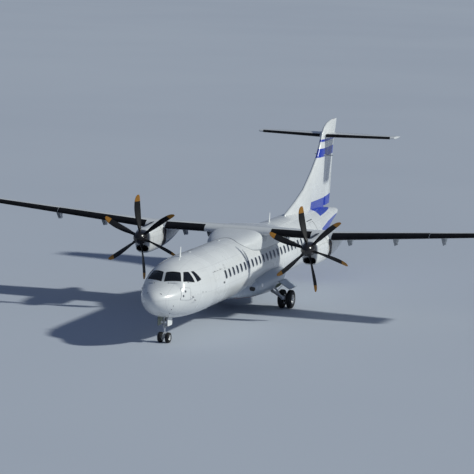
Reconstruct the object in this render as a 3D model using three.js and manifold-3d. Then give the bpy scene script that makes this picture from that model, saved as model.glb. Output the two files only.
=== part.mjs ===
import * as THREE from 'three';
import { mergeVertices } from 'three/addons/utils/BufferGeometryUtils.js';
import Module from 'manifold-3d';

const wasm = await Module();
wasm.setup();

// A high-wing twin turboprop airliner, standing on its gear.
// All sizes are in millimetres. Stations run aft from the nose tip along +Y, x is to port, z is up
// from the ground. The origin is on the ground, halfway along the length.

// Driving dimensions
const LENGTH = 27166;
const SPAN = 27050;
const FIN_TOP = 7650;
const GAP = 0.3;          // between two pieces that touch
const PLAY = 0.5;         // between an axle and what turns on it
const PIN_GAP = 1.1;      // at the end of a slanted hinge pin
const BOSS_GAP = 0.9;     // between the boss of a flap bracket and the arm of its flap
const PIN_RADIUS = 12;
const PIN_DEEP = 60;      // from a surface's end into it
const CLEAR = 8;          // round a piece that moves
const FAR = 3000;         // reach of a cutting block past the surface that it cuts

// Fuselage joints, as stations
const JOINTS = [0, 900, 4000, 8400, 14900, 20400, 25300, LENGTH];
const SKIN_SIDES = 32;

// Wing
const CENTRE_HALF = 4550; // half span of the constant centre section
const ROOT_CHORD = 2570;
const TIP_CHORD = 1590;
const ROOT_THICK = 0.17;
const TIP_THICK = 0.126;
const CAMBER = 0.03;      // highest point of the mean line, as a share of the chord
const CAMBER_AT = 0.15;   // its distance aft, also a share
const WING_STATION = 11080;
const WING_Z = 3635;
const TIP_SETBACK = 420;  // of the tip's leading edge behind the root's
const DIHEDRAL = THREE.MathUtils.degToRad(4.1);
const INCIDENCE = THREE.MathUtils.degToRad(3.5);

// Engines and propellers
const ENGINE_X = 4050;
const HUB_Z = 3340;
const PROP_STATION = 9200;
const PROP_RADIUS = 1965;
const BLADES = 6;
const PROP_PHASE = { port: -14.2, starboard: -8 };
const COWL_FRONT = 9460;
const ENGINE_HALF_WIDTH = 300;
const GEARBOX = { station: [9620, 10900], z: [2990, 3580] };
const TURBINE = { station: [10250, 11750], z: [2790, 3400] };
const SHAFT = { radius: 100, front: COWL_FRONT - 5, rear: 9650, hole: 130 };
const HUB = { radius: 150, half: 150, tail: 90, blade: 68 };
const SPINNER = [
  [0, -480], [100, -458], [195, -380], [270, -245], [309, -60], [315, 150], [295, 235], [0, 235],
];

// Tail
const TAIL_Z = 6930;
const TAIL_HALF = 3655;
const TAIL_CHORD = [2000, 1200];
const TAIL_LEADING = [24345, 24945];
const TAIL_THICK = 0.12;

// Landing gear
// Each axle's wheels are this half apart, and its ends stand out past their middles.
const NOSE_AXLE = { station: 1700, z: 225, half: 175, out: 80 };
const MAIN_AXLE = { station: 12470, z: 432, x: 2050, half: 205 };
const AXLE_OUT = 105;
const MAIN_LEG = {
  ahead: 540, kneeZ: 560, kneeHalf: 75, footX: 1100, footZ: 1080, damperX: 1500, damperZ: 1160,
};
const MAIN_DOOR = {
  from: 11870, to: 12990, outline: [[1800, 1335], [2390, 985], [2380, 962], [1790, 1310]],
};
const NOSE_LEG = { collar: 620, brace: 760 };
const NOSE_DOOR = { from: 1440, to: 2030, z: [740, 1230], thick: 25 };
const NOSE_TYRE = { radius: 225, width: 180, rim: 112, bore: 25 };
const MAIN_TYRE = { radius: 432, width: 250, rim: 205, bore: 50 };
const WHEEL_SIDES = 24;
const NOSE_WELL = { half: 230, from: 1350, to: 2050, roof: 1400 };
const MAIN_WELL = { inner: 1020, outer: 2400, from: 11790, to: 13010, roof: 1200 };

// Doors: station range and height range of each opening, the gap at its rear edge, how deep its bay
// is, and which length of the fuselage it is in. The cabin door's hinge follows the tapering skin, so
// its rear edge swings aft a little.
const CARGO_DOOR = { from: 4225, to: 5500, low: 1250, high: 2780, rearGap: CLEAR, bay: 250, section: 2 };
const CABIN_DOOR = { from: 19200, to: 19980, low: 1450, high: 3110, rearGap: 48, bay: 250, section: 4 };
const DOOR_THICK = 60;
const HINGE_OUT = 8;      // of a door's hinge line outside the skin
const KNUCKLE_RADIUS = 8;

const PAINTS = {
  white: { color: 0xe6e8ea, roughness: 0.3, metalness: 0 },
  belly: { color: 0xb9bec6, roughness: 0.35, metalness: 0 },
  black: { color: 0x17181b, roughness: 0.45, metalness: 0 },
  tyre: { color: 0x1c1c1d, roughness: 0.85, metalness: 0 },
  rim: { color: 0xc9ccd0, roughness: 0.4, metalness: 0.6 },
  steel: { color: 0xa9adb3, roughness: 0.4, metalness: 0.8 },
  engine: { color: 0x6d6f70, roughness: 0.55, metalness: 0.7 },
};

// A table's rows become objects whose keys are the column names.
function table(columns, rows) {
  const names = columns.split(' ');
  return rows.map((row) => Object.fromEntries(names.map((name, k) => [name, row[k]])));
}

// Smooth value of every column at a place between a table's rows, with no overshoot.
function between(rows, key, place) {
  const last = rows.length - 1;
  const at = Math.min(Math.max(place, rows[0][key]), rows[last][key]);
  let k = 0;
  while (k < last - 1 && at > rows[k + 1][key]) k += 1;
  const slope = (i, name) => {
    if (i < 0 || i >= last) return null;
    return (rows[i + 1][name] - rows[i][name]) / (rows[i + 1][key] - rows[i][key]);
  };
  const tangent = (i, name) => {
    const before = slope(i - 1, name);
    const after = slope(i, name);
    if (before === null) return after;
    if (after === null) return before;
    return before * after <= 0 ? 0 : (2 * before * after) / (before + after);
  };
  const span = rows[k + 1][key] - rows[k][key];
  const t = (at - rows[k][key]) / span;
  const found = {};
  for (const name of Object.keys(rows[k])) {
    const a = rows[k][name];
    const b = rows[k + 1][name];
    const ta = tangent(k, name) * span;
    const tb = tangent(k + 1, name) * span;
    found[name] = a * (1 + 2 * t) * (1 - t) ** 2 + b * t * t * (3 - 2 * t)
      + ta * t * (1 - t) ** 2 + tb * t * t * (t - 1);
  }
  found[key] = place;
  return found;
}

// Fuselage skin: half width, top, height of the widest line, bottom, and the power of the oval
const SKIN = table('station half top widest bottom power', [
  [0, 40, 2065, 2022, 1979, 2],
  [60, 186, 2202, 2024, 1830, 2],
  [200, 362, 2331, 2027, 1667, 2],
  [500, 597, 2460, 2037, 1463, 2.05],
  [900, 798, 2564, 2061, 1290, 2.1],
  [1330, 955, 2690, 2100, 1162, 2.1],
  [1620, 1040, 3070, 2130, 1096, 2.05],
  [2100, 1164, 3300, 2150, 1015, 2],
  [2700, 1278, 3425, 2125, 950, 2],
  [3400, 1372, 3493, 2095, 903, 2],
  [4300, 1432.5, 3517.5, 2085, 880, 2],
  [17300, 1432.5, 3517.5, 2085, 880, 2],
  [18500, 1412, 3515, 2090, 920, 2],
  [19500, 1355, 3509, 2135, 1040, 2],
  [20500, 1255, 3490, 2215, 1215, 2],
  [21500, 1115, 3455, 2315, 1425, 2],
  [22500, 950, 3405, 2430, 1655, 2],
  [23500, 770, 3335, 2545, 1895, 2],
  [24600, 570, 3230, 2645, 2145, 2],
  [25600, 400, 3115, 2710, 2325, 2],
  [26500, 240, 3000, 2745, 2485, 2],
  [27000, 140, 2915, 2770, 2625, 2],
  [LENGTH, 60, 2865, 2795, 2725, 2],
]);

// Belly fairing with the gear bulges
const BELLY = table('station half top widest bottom power', [
  [8300, 820, 1465, 1165, 915, 2.2],
  [8800, 1100, 1655, 1215, 845, 2.3],
  [9500, 1380, 1815, 1275, 760, 2.4],
  [10300, 1590, 1895, 1345, 675, 2.5],
  [11200, 1750, 1935, 1415, 615, 2.5],
  [12200, 1830, 1945, 1455, 590, 2.5],
  [12800, 1800, 1940, 1455, 593, 2.5],
  [13400, 1680, 1925, 1425, 605, 2.5],
  [14200, 1420, 1895, 1375, 645, 2.4],
  [15000, 1140, 1775, 1295, 715, 2.3],
  [15600, 920, 1655, 1215, 785, 2.2],
  [16200, 700, 1495, 1155, 865, 2.2],
]);

// Fairing between the fuselage and the wing
const SADDLE = table('station half top widest bottom power', [
  [9300, 820, 3455, 3065, 2815, 2.4],
  [10200, 1150, 3590, 3080, 2760, 3],
  [11000, 1290, 3730, 3090, 2740, 4],
  [11600, 1300, 3820, 3090, 2740, 5],
  [12200, 1300, 3830, 3090, 2740, 5],
  [12900, 1300, 3790, 3090, 2740, 5],
  [13700, 1290, 3690, 3080, 2740, 4],
  [14600, 1150, 3600, 3070, 2760, 3],
  [15600, 820, 3455, 3065, 2815, 2.4],
]);

// Engine nacelle, about its own centre plane
const COWL = table('station half top widest bottom power', [
  [COWL_FRONT, 375, 3665, 3250, 2590, 3],
  [9640, 420, 3705, 3250, 2555, 2.9],
  [10100, 460, 3740, 3245, 2550, 2.7],
  [10700, 485, 3775, 3240, 2565, 2.6],
  [11200, 490, 3830, 3245, 2600, 2.7],
  [11700, 490, 3870, 3265, 2655, 2.7],
  [12300, 470, 3850, 3285, 2750, 2.6],
  [13000, 415, 3740, 3300, 2895, 2.5],
  [13700, 325, 3600, 3315, 3050, 2.3],
  [14200, 200, 3490, 3330, 3180, 2.1],
  [14450, 70, 3410, 3350, 3280, 2],
]);

// Air intake under the spinner
const INTAKE = table('station half top widest bottom power', [
  [COWL_FRONT - 50, 300, 2950, 2802, 2655, 2.6],
  [COWL_FRONT + 250, 260, 2900, 2775, 2650, 2.6],
  [COWL_FRONT + 700, 210, 2850, 2750, 2650, 2.6],
]);

// Propeller blade: radius, chord, thickness, pitch from the plane of rotation, trailing sweep
const BLADE = table('radius chord thick pitch sweep', [
  [330, 140, 120, 66, 0],
  [520, 215, 85, 60, 0],
  [850, 300, 48, 53, -8],
  [1250, 320, 30, 46, 0],
  [1600, 285, 20, 41, 30],
  [1860, 205, 13, 38, 80],
  [PROP_RADIUS, 90, 8, 37, 118],
]);

// Fin outline: leading edge, trailing edge and thickness at each height
const FIN = table('z leading trailing thick', [
  [3050, 17820, 25785, 400],
  [3560, 18270, 25850, 400],
  [4050, 19975, 25918, 390],
  [4490, 21212, 25972, 370],
  [5250, 22480, 26067, 340],
  [5950, 23428, 26176, 310],
  [6500, 23855, 26272, 290],
  [6900, 24120, 26440, 270],
  [7100, 24255, 26590, 260],
  [7350, 24545, 26675, 230],
  [7540, 25010, 26740, 180],
  [FIN_TOP, 25700, 26740, 80],
]);
const RUDDER = {
  low: 3320, high: 6680, lowHinge: 24750, highHinge: 25212, lowNose: 115, highNose: 82,
};

const FLAP_CUT = 0.7;
const AILERON_CUT = 0.72;
const ELEVATOR = { from: 230, to: 3420, cut: 0.64 };
const FLAP_PIVOT_DROP = 430; // of the pivot below the chord line
// Trailing edge surfaces of each wing: span range, hinge as a share of the chord, gap at the outer
// end, and brackets. The outboard flap swings outwards a little as it droops along its tilted hinge.
const SURFACES = [
  { name: 'flap_inboard', from: 1400, to: 3590, cut: FLAP_CUT, endGap: CLEAR, brackets: [1900, 3100] },
  { name: 'flap_outboard', from: 4600, to: 9850, cut: FLAP_CUT, endGap: 26, brackets: [5000, 7200, 9500] },
  { name: 'aileron', from: 9950, to: 13200, cut: AILERON_CUT, endGap: CLEAR, brackets: [] },
];

const root = new THREE.Group();
root.name = 'airliner';
const SIDES = { port: 1, starboard: -1 };

function point(x, station, z) {
  return [x, station - LENGTH / 2, z];
}

// A closed solid from bare triangles, turned to face out.
function fromTriangles(vertices, faces) {
  let volume = 0;
  for (const [a, b, c] of faces) {
    const [p, q, r] = [vertices[a], vertices[b], vertices[c]];
    volume += p[0] * (q[1] * r[2] - q[2] * r[1])
      + p[1] * (q[2] * r[0] - q[0] * r[2])
      + p[2] * (q[0] * r[1] - q[1] * r[0]);
  }
  const triVerts = new Uint32Array(faces.length * 3);
  faces.forEach(([a, b, c], k) => triVerts.set(volume > 0 ? [a, b, c] : [a, c, b], 3 * k));
  const vertProperties = new Float32Array(vertices.flat());
  return new wasm.Manifold(new wasm.Mesh({ numProp: 3, vertProperties, triVerts }));
}

// A three.js geometry as a solid, without its doubled vertices and empty triangles.
function solid(geometry) {
  const bare = geometry.clone();
  bare.deleteAttribute('normal');
  bare.deleteAttribute('uv');
  const merged = mergeVertices(bare, 1e-3);
  const place = merged.attributes.position;
  const vertices = [];
  for (let k = 0; k < place.count; k += 1) {
    vertices.push([place.getX(k), place.getY(k), place.getZ(k)]);
  }
  const faces = [];
  for (let k = 0; k < merged.index.count; k += 3) {
    const face = [0, 1, 2].map((n) => merged.index.getX(k + n));
    if (new Set(face).size === 3) faces.push(face);
  }
  return fromTriangles(vertices, faces);
}

// A loft through rings of equal count, closed by a flat cap at each end.
function loft(rings) {
  const count = rings[0].length;
  const vertices = rings.flat();
  const faces = [];
  for (let i = 0; i + 1 < rings.length; i += 1) {
    for (let k = 0; k < count; k += 1) {
      const a = i * count + k;
      const b = i * count + ((k + 1) % count);
      faces.push([a, b, b + count], [a, b + count, a + count]);
    }
  }
  // The first cap turns against its ring and the last cap with it, as the side faces do.
  const cap = (ring, first, withRing) => {
    const outline = flattened(ring);
    const ringTurn = Math.sign(THREE.ShapeUtils.area(outline));
    for (const face of THREE.ShapeUtils.triangulateShape(outline, [])) {
      const turn = Math.sign(THREE.ShapeUtils.area(face.map((k) => outline[k])));
      const [p, q, r] = face.map((k) => first + k);
      faces.push((turn === ringTurn) === withRing ? [p, q, r] : [p, r, q]);
    }
  };
  cap(rings[0], 0, false);
  cap(rings[rings.length - 1], count * (rings.length - 1), true);
  return fromTriangles(vertices, faces);
}

// A ring's outline in the two axes along which it is widest.
function flattened(ring) {
  const size = [0, 1, 2].map((axis) => {
    const values = ring.map((p) => p[axis]);
    return Math.max(...values) - Math.min(...values);
  });
  const flat = size.indexOf(Math.min(...size));
  const [u, v] = [0, 1, 2].filter((axis) => axis !== flat);
  return ring.map((p) => new THREE.Vector2(p[u], p[v]));
}

// A flat outline moved outwards by a distance, corner by corner.
function grown(outline, distance) {
  const area = THREE.ShapeUtils.area(outline.map(([a, b]) => new THREE.Vector2(a, b)));
  const out = area > 0 ? distance : -distance;
  const count = outline.length;
  return outline.map(([a, b], k) => {
    const before = outline[(k + count - 1) % count];
    const after = outline[(k + 1) % count];
    const normal = (p, q) => {
      const d = Math.hypot(q[0] - p[0], q[1] - p[1]);
      return [(q[1] - p[1]) / d, (p[0] - q[0]) / d];
    };
    const n = normal(before, [a, b]);
    const m = normal([a, b], after);
    const scale = out / (1 + n[0] * m[0] + n[1] * m[1]);
    return [a + (n[0] + m[0]) * scale, b + (n[1] + m[1]) * scale];
  });
}

// An oval ring at one station, from a row of a section table.
function oval(row, { centre = 0, grow = 0, sides = SKIN_SIDES } = {}) {
  const outline = [];
  for (let k = 0; k < sides; k += 1) {
    const angle = (2 * Math.PI * k) / sides;
    const [c, s] = [Math.cos(angle), Math.sin(angle)];
    const across = Math.sign(c) * Math.abs(c) ** (2 / row.power);
    const along = Math.sign(s) * Math.abs(s) ** (2 / row.power);
    const height = s > 0 ? row.top - row.widest : row.widest - row.bottom;
    outline.push([centre + row.half * across, row.widest + height * along]);
  }
  const ring = grow ? grown(outline, grow) : outline;
  return ring.map(([x, z]) => point(x, row.station, z));
}

// A stretch of a section table as a solid.
function shell(rows, from, to, options) {
  const inner = (s) => s > from + 1 && s < to - 1;
  const joints = rows === SKIN ? JOINTS.filter((s) => rows.every((row) => row.station !== s)) : [];
  const stations = [...rows.map((row) => row.station), ...joints].filter(inner);
  const places = [from, ...stations.sort((a, b) => a - b), to];
  return loft(places.map((s) => oval(between(rows, 'station', s), options)));
}

function whole(rows, options) {
  return shell(rows, rows[0].station, rows[rows.length - 1].station, options);
}

function box(x, station, z) {
  const geometry = new THREE.BoxGeometry(x[1] - x[0], station[1] - station[0], z[1] - z[0]);
  const middle = point((x[0] + x[1]) / 2, (station[0] + station[1]) / 2, (z[0] + z[1]) / 2);
  geometry.translate(...middle);
  return solid(geometry);
}

// A box given for the port side, or mirrored to starboard.
function sideBox(side, x, station, z) {
  return box(side > 0 ? x : [-x[1], -x[0]], station, z);
}

// A round bar between two points.
function rod(a, b, radius, sides = 12, endRadius = radius) {
  const from = new THREE.Vector3(...point(...a));
  const to = new THREE.Vector3(...point(...b));
  const along = to.clone().sub(from);
  const geometry = new THREE.CylinderGeometry(endRadius, radius, along.length(), sides);
  const turn = new THREE.Quaternion();
  turn.setFromUnitVectors(new THREE.Vector3(0, 1, 0), along.clone().normalize());
  geometry.applyQuaternion(turn);
  geometry.translate(...from.add(to).multiplyScalar(0.5).toArray());
  return solid(geometry);
}

// A profile of [radius, place along the axis], turned about the X or Y axis.
function turned(profile, axis, sides) {
  const points = profile.map(([radius, along]) => new THREE.Vector2(radius, along));
  const geometry = new THREE.LatheGeometry(points, sides);
  if (axis === 'x') geometry.rotateZ(-Math.PI / 2);
  return geometry;
}

function add(name, shape, paint, place = [0, 0, 0]) {
  let geometry = shape;
  if (!shape.isBufferGeometry) {
    const made = shape.getMesh();
    geometry = new THREE.BufferGeometry();
    const corners = new Float32Array(made.vertProperties);
    geometry.setAttribute('position', new THREE.BufferAttribute(corners, 3));
    geometry.setIndex(new THREE.BufferAttribute(new Uint32Array(made.triVerts), 1));
    geometry.computeVertexNormals();
  }
  const mesh = new THREE.Mesh(geometry, new THREE.MeshStandardMaterial(PAINTS[paint]));
  mesh.name = name;
  mesh.position.set(...place);
  root.add(mesh);
}

// Airfoil section: heights of the upper and lower surface at a share of the chord
function foilHeights(share, thick, camber) {
  const half = 5 * thick * (0.2969 * Math.sqrt(share) - 0.126 * share - 0.3516 * share ** 2
    + 0.2843 * share ** 3 - 0.1015 * share ** 4);
  const ahead = share / CAMBER_AT;
  const behind = (1 - share) / (1 - CAMBER_AT);
  const middle = camber * (ahead < 1 ? ahead * (2 - ahead) : behind);
  return [middle + half, middle - half];
}

// Airfoil outline of [distance aft, height], from the trailing edge over the top and back below.
function foilOutline(chord, thick, camber, grow = 0) {
  const steps = 9;
  const upper = [];
  const lower = [];
  for (let k = 0; k <= steps; k += 1) {
    const share = (1 - Math.cos((Math.PI * k) / steps)) / 2;
    const [high, low] = foilHeights(share, thick, camber);
    upper.unshift([share * chord, high * chord]);
    if (k > 0) lower.push([share * chord, low * chord]);
  }
  const outline = [...upper, ...lower];
  return grow ? grown(outline, grow) : outline;
}

// Outline of a hinged surface: a round nose about the hinge, then the airfoil to its trailing edge
function surfaceOutline(chord, thick, camber, cut) {
  const [high, low] = foilHeights(cut, thick, camber);
  const middle = ((high + low) / 2) * chord;
  const radius = ((high - low) / 2) * chord;
  const outline = [];
  for (const share of [1, 0.9, 0.8]) {
    if (share > cut + 0.03) outline.push([share * chord, foilHeights(share, thick, camber)[0] * chord]);
  }
  const steps = 6;
  for (let k = 0; k <= steps; k += 1) {
    const angle = Math.PI / 2 + (Math.PI * k) / steps;
    outline.push([cut * chord + radius * Math.cos(angle), middle + radius * Math.sin(angle)]);
  }
  for (const share of [0.8, 0.9, 1]) {
    if (share > cut + 0.03) outline.push([share * chord, foilHeights(share, thick, camber)[1] * chord]);
  }
  return { outline, middle, radius };
}

// Wing geometry at a distance from the centre plane.
function wingAt(x) {
  const out = Math.max(Math.abs(x) - CENTRE_HALF, 0);
  const share = out / (SPAN / 2 - CENTRE_HALF);
  const mix = (a, b) => a + (b - a) * share;
  return {
    x,
    station: WING_STATION + TIP_SETBACK * share,
    z: WING_Z + out * Math.tan(DIHEDRAL),
    chord: mix(ROOT_CHORD, TIP_CHORD),
    thick: mix(ROOT_THICK, TIP_THICK),
    camber: CAMBER,
    tilt: INCIDENCE,
  };
}

function tailAt(x) {
  const share = Math.abs(x) / TAIL_HALF;
  const chord = TAIL_CHORD[0] + (TAIL_CHORD[1] - TAIL_CHORD[0]) * share;
  const station = TAIL_LEADING[0] + (TAIL_LEADING[1] - TAIL_LEADING[0]) * share;
  return { x, station, z: TAIL_Z, chord, thick: TAIL_THICK, camber: 0, tilt: 0 };
}

// Points of a section's outline in the aircraft, tilted about the leading edge.
function placed(at, outline) {
  const [c, s] = [Math.cos(at.tilt), Math.sin(at.tilt)];
  return outline.map(([aft, up]) => point(at.x, at.station + aft * c + up * s, at.z - aft * s + up * c));
}

function foilLoft(places, grow = 0) {
  return loft(places.map((at) => placed(at, foilOutline(at.chord, at.thick, at.camber, grow))));
}

// Hinge point of a surface at one place along the span, with its nose radius.
function hingeAt(at, cut, drop = 0) {
  const { middle, radius } = surfaceOutline(at.chord, at.thick, at.camber, cut);
  const [[x, y, z]] = placed(at, [[cut * at.chord, middle - drop]]);
  return { x, station: y + LENGTH / 2, z, radius };
}

// The space that a hinged surface takes out of the wing or tailplane in front of it.
function surfaceSlot(section, side, from, to, cut) {
  const ring = (x) => {
    const at = section(side * x);
    const { radius } = surfaceOutline(at.chord, at.thick, at.camber, cut);
    const wall = cut * at.chord - radius - CLEAR;
    const high = at.chord * at.thick;
    return placed(at, [[wall, high], [wall, -high], [at.chord + FAR, -high], [at.chord + FAR, high]]);
  };
  return loft([ring(from), ring(to)]);
}

function surfaceSolid(section, side, from, to, cut, endGap = CLEAR) {
  const ring = (x) => {
    const at = section(side * x);
    return placed(at, surfaceOutline(at.chord, at.thick, at.camber, cut).outline);
  };
  return loft([ring(from + CLEAR), ring(to - endGap)]);
}

// Stub pins on a surface's two ends, on its hinge line, reaching the ribs beside it.
function endPins(section, side, from, to, cut) {
  const near = hingeAt(section(side * from), cut);
  const far = hingeAt(section(side * to), cut);
  const on = (share) => ['x', 'station', 'z'].map((key) => near[key] + (far[key] - near[key]) * share);
  const run = to - from;
  const inner = rod(on(PIN_GAP / run), on(PIN_DEEP / run), PIN_RADIUS, 8);
  const outer = rod(on(1 - PIN_DEEP / run), on(1 - PIN_GAP / run), PIN_RADIUS, 8);
  return inner.add(outer);
}

// Wing bracket and flap arm that meet at a pivot under the wing.
function flapBracket(side, x, cut) {
  const at = wingAt(side * x);
  const pivot = hingeAt(at, cut, FLAP_PIVOT_DROP);
  const plate = (near, far, corners) => (
    loft([near, far].map((out) => corners.map(([s, z]) => point(at.x + side * out, s, z)))));
  const s = pivot.station;
  const z = pivot.z;
  const inWing = at.z - 20;
  const wall = s - pivot.radius - 4 * CLEAR;
  const fixed = plate(-50, -10, [
    [s - 620, inWing], [wall, inWing], [wall, z + 180],
    [s + 45, z + 20], [s + 20, z - 45], [s - 120, z - 50],
  ]);
  const boss = rod([at.x - 20 * side, s, z], [at.x + (10 - BOSS_GAP) * side, s, z], 14, 8);
  const arm = plate(10, 50, [
    [s - 40, z + 10], [s - 20, z - 40], [s + 60, z - 30], [s + 420, z + FLAP_PIVOT_DROP - 40],
    [s + 60, z + FLAP_PIVOT_DROP - 40],
  ]);
  return { fixed: fixed.add(boss), arm };
}

function union(parts) {
  return parts.reduce((sum, part) => sum.add(part));
}

// Fuselage side at a height, so that a door's hinge can lie on it.
function skinX(station, z) {
  const row = between(SKIN, 'station', station);
  const height = z > row.widest ? row.top - row.widest : row.widest - row.bottom;
  const share = Math.min(Math.abs(z - row.widest) / height, 1);
  return row.half * (1 - share ** row.power) ** (1 / row.power);
}

// A curved door cut from the skin, with its opening, its hinge line and the two halves of its hinges.
function curvedDoor({ from, to, low, high, rearGap, bay, section }, hingeZ) {
  const host = [JOINTS[section], JOINTS[section + 1]];
  const leaf = shell(SKIN, ...host)
    .intersect(box([bay, FAR], [from + CLEAR, to - rearGap], [low + CLEAR, high - CLEAR]))
    .subtract(shell(SKIN, ...host, { grow: -DOOR_THICK }));
  const opening = box([bay, FAR], [from, to], [low, high]);
  const chord = [from, to].map((station) => skinX(station, hingeZ));
  const bulges = [0.25, 0.5, 0.75].map((share) => (
    skinX(from + (to - from) * share, hingeZ) - chord[0] - (chord[1] - chord[0]) * share));
  const out = HINGE_OUT + Math.max(0, ...bulges);
  const ends = [from, to].map((station, k) => [chord[k] + out, station, hingeZ]);
  const on = (station) => {
    const share = (station - from) / (to - from);
    return ends[0].map((value, k) => value + (ends[1][k] - value) * share);
  };
  const inwards = hingeZ > (low + high) / 2 ? -1 : 1;
  const knuckle = 70;
  const moving = [];
  const fixed = [];
  for (const share of [0.2, 0.8]) {
    const middle = from + (to - from) * share;
    const leafPin = rod(on(middle), on(middle + knuckle), KNUCKLE_RADIUS);
    const [x, , z] = on(middle);
    const tab = [z, z + inwards * 4 * KNUCKLE_RADIUS].sort((a, b) => a - b);
    moving.push(leafPin, box([x - 45, x + 2], [middle + 5, middle + knuckle - 5], tab));
    const skinPin = rod(on(middle - knuckle), on(middle - GAP), KNUCKLE_RADIUS);
    const lug = [z - inwards * 4 * KNUCKLE_RADIUS, z].sort((a, b) => a - b);
    fixed.push(skinPin, box([x - 45, x + 2], [middle - knuckle + 5, middle - 5], lug));
  }
  return { leaf: leaf.add(union(moving)), opening, fixed: union(fixed), ends };
}

const wholeSkin = shell(SKIN, 7000, LENGTH - 1, { grow: GAP });

// Wing as three solids, each with the slots of its hinged surfaces.
function makeWings() {
  const tipCap = (side) => {
    const end = wingAt(side * SPAN / 2);
    return { ...end, station: end.station + 120, chord: end.chord - 300, thick: 0.05 };
  };
  const flapBrackets = {};
  for (const [sideName, side] of Object.entries(SIDES)) {
    for (const { name, brackets, cut } of SURFACES) {
      flapBrackets[`${name}_${sideName}`] = brackets.map((x) => flapBracket(side, x, cut));
    }
  }
  let centre = foilLoft([wingAt(-CENTRE_HALF), wingAt(CENTRE_HALF)]);
  for (const [sideName, side] of Object.entries(SIDES)) {
    const [inner, outer, aileron] = SURFACES;
    centre = centre.subtract(surfaceSlot(wingAt, side, inner.from, inner.to, inner.cut));
    for (const { fixed } of flapBrackets[`flap_inboard_${sideName}`]) centre = centre.add(fixed);
    const places = [wingAt(side * (CENTRE_HALF + GAP)), wingAt(side * (SPAN / 2 - 130)), tipCap(side)];
    let panel = foilLoft(places);
    for (const { from, to, cut } of [outer, aileron]) {
      panel = panel.subtract(surfaceSlot(wingAt, side, from, to, cut));
    }
    for (const { fixed } of flapBrackets[`flap_outboard_${sideName}`]) panel = panel.add(fixed);
    add(`wing_${sideName}`, panel, 'white');
    for (const { name, from, to, cut, endGap } of SURFACES) {
      let leaf = surfaceSolid(wingAt, side, from, to, cut, endGap);
      const arms = flapBrackets[`${name}_${sideName}`];
      if (arms.length) leaf = leaf.add(union(arms.map(({ arm }) => arm)));
      else leaf = leaf.add(endPins(wingAt, side, from, to, cut));
      add(`${name}_${sideName}`, leaf, 'white');
    }
  }
  add('wing_centre', centre, 'white');
}

function makeTail() {
  const { from, to, cut } = ELEVATOR;
  const square = TAIL_HALF - 60;
  let plane = foilLoft([-square, 0, square].map(tailAt));
  const tip = (side) => {
    const end = tailAt(side * square);
    const last = { station: end.station + 90, chord: end.chord - 200, thick: 0.04 };
    return [end, { ...tailAt(side * TAIL_HALF), ...last }];
  };
  for (const [sideName, side] of Object.entries(SIDES)) {
    plane = plane.add(foilLoft(tip(side)));
    plane = plane.subtract(surfaceSlot(tailAt, side, from, to, cut));
    const leaf = surfaceSolid(tailAt, side, from, to, cut).add(endPins(tailAt, side, from, to, cut));
    add(`elevator_${sideName}`, leaf, 'white');
  }
  const plan = (row) => {
    const chord = row.trailing - row.leading;
    const outline = foilOutline(chord, row.thick / chord, 0);
    return outline.map(([aft, across]) => point(across, row.leading + aft, row.z));
  };
  const alongRudder = (z, low, high) => (
    low + ((high - low) * (z - RUDDER.low)) / (RUDDER.high - RUDDER.low));
  const hingeStation = (z) => alongRudder(z, RUDDER.lowHinge, RUDDER.highHinge);
  const noseRadius = (z) => alongRudder(z, RUDDER.lowNose, RUDDER.highNose);
  const slotRing = (z) => {
    const wall = hingeStation(z) - noseRadius(z) - CLEAR;
    return [[-400, wall], [400, wall], [400, 27500], [-400, 27500]].map(([x, s]) => point(x, s, z));
  };
  const tailGap = foilLoft([-600, 0, 600].map(tailAt), GAP);
  const fin = loft(FIN.map(plan))
    .subtract(loft([slotRing(3000), slotRing(RUDDER.high)]))
    .subtract(wholeSkin)
    .subtract(tailGap);
  add('fin', fin, 'white');
  const rudderRing = (z) => {
    const row = between(FIN, 'z', z);
    const radius = noseRadius(z);
    const hinge = hingeStation(z);
    const ring = [[8, row.trailing]];
    for (let k = 0; k <= 6; k += 1) {
      const angle = (Math.PI * k) / 6;
      ring.push([radius * Math.cos(angle), hinge - radius * Math.sin(angle)]);
    }
    ring.push([-8, row.trailing]);
    return ring.map(([x, s]) => point(x, s, z));
  };
  const pin = (z0, z1) => rod([0, hingeStation(z0), z0], [0, hingeStation(z1), z1], PIN_RADIUS, 8);
  const top = RUDDER.high - CLEAR;
  const rudder = loft([rudderRing(RUDDER.low), rudderRing(top)]);
  const footTop = RUDDER.low - 2 * PIN_GAP;
  const socket = pin(RUDDER.low - 230, footTop);
  add('rudder', rudder.add(pin(top - PIN_DEEP, RUDDER.high - 2 * PIN_GAP)), 'white');
  add('tailplane', plane, 'white');
  return { socket };
}

function makeFuselage(tailSocket) {
  const names = ['radome', 'cockpit_section', 'forward_fuselage', 'centre_fuselage',
    'aft_fuselage', 'tail_section', 'tail_cone'];
  const saddleCut = foilLoft([wingAt(-2000), wingAt(2000)], GAP);
  const cargo = curvedDoor(CARGO_DOOR, CARGO_DOOR.high);
  const cabin = curvedDoor(CABIN_DOOR, CABIN_DOOR.low);
  names.forEach((name, k) => {
    const from = JOINTS[k] + (k ? GAP / 2 : 0);
    const to = JOINTS[k + 1] - (k + 1 < names.length ? GAP / 2 : 0);
    let part = shell(SKIN, from, to);
    if (name === 'cockpit_section') {
      const { half, from: front, to: back, roof } = NOSE_WELL;
      part = part.subtract(box([-half, half], [front, back], [0, roof]));
    }
    if (name === 'forward_fuselage') part = part.subtract(cargo.opening).add(cargo.fixed);
    if (name === 'centre_fuselage') part = part.subtract(saddleCut).subtract(gearWells());
    if (name === 'aft_fuselage') part = part.subtract(cabin.opening).add(cabin.fixed);
    if (name === 'tail_section') part = part.add(tailSocket);
    add(name, part, 'white');
  });
  add('cargo_door', cargo.leaf, 'white');
  add('passenger_door', cabin.leaf, 'white');
  const saddle = whole(SADDLE, { sides: 24 }).subtract(wholeSkin).subtract(saddleCut);
  add('wing_fairing', saddle, 'white');
}

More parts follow.
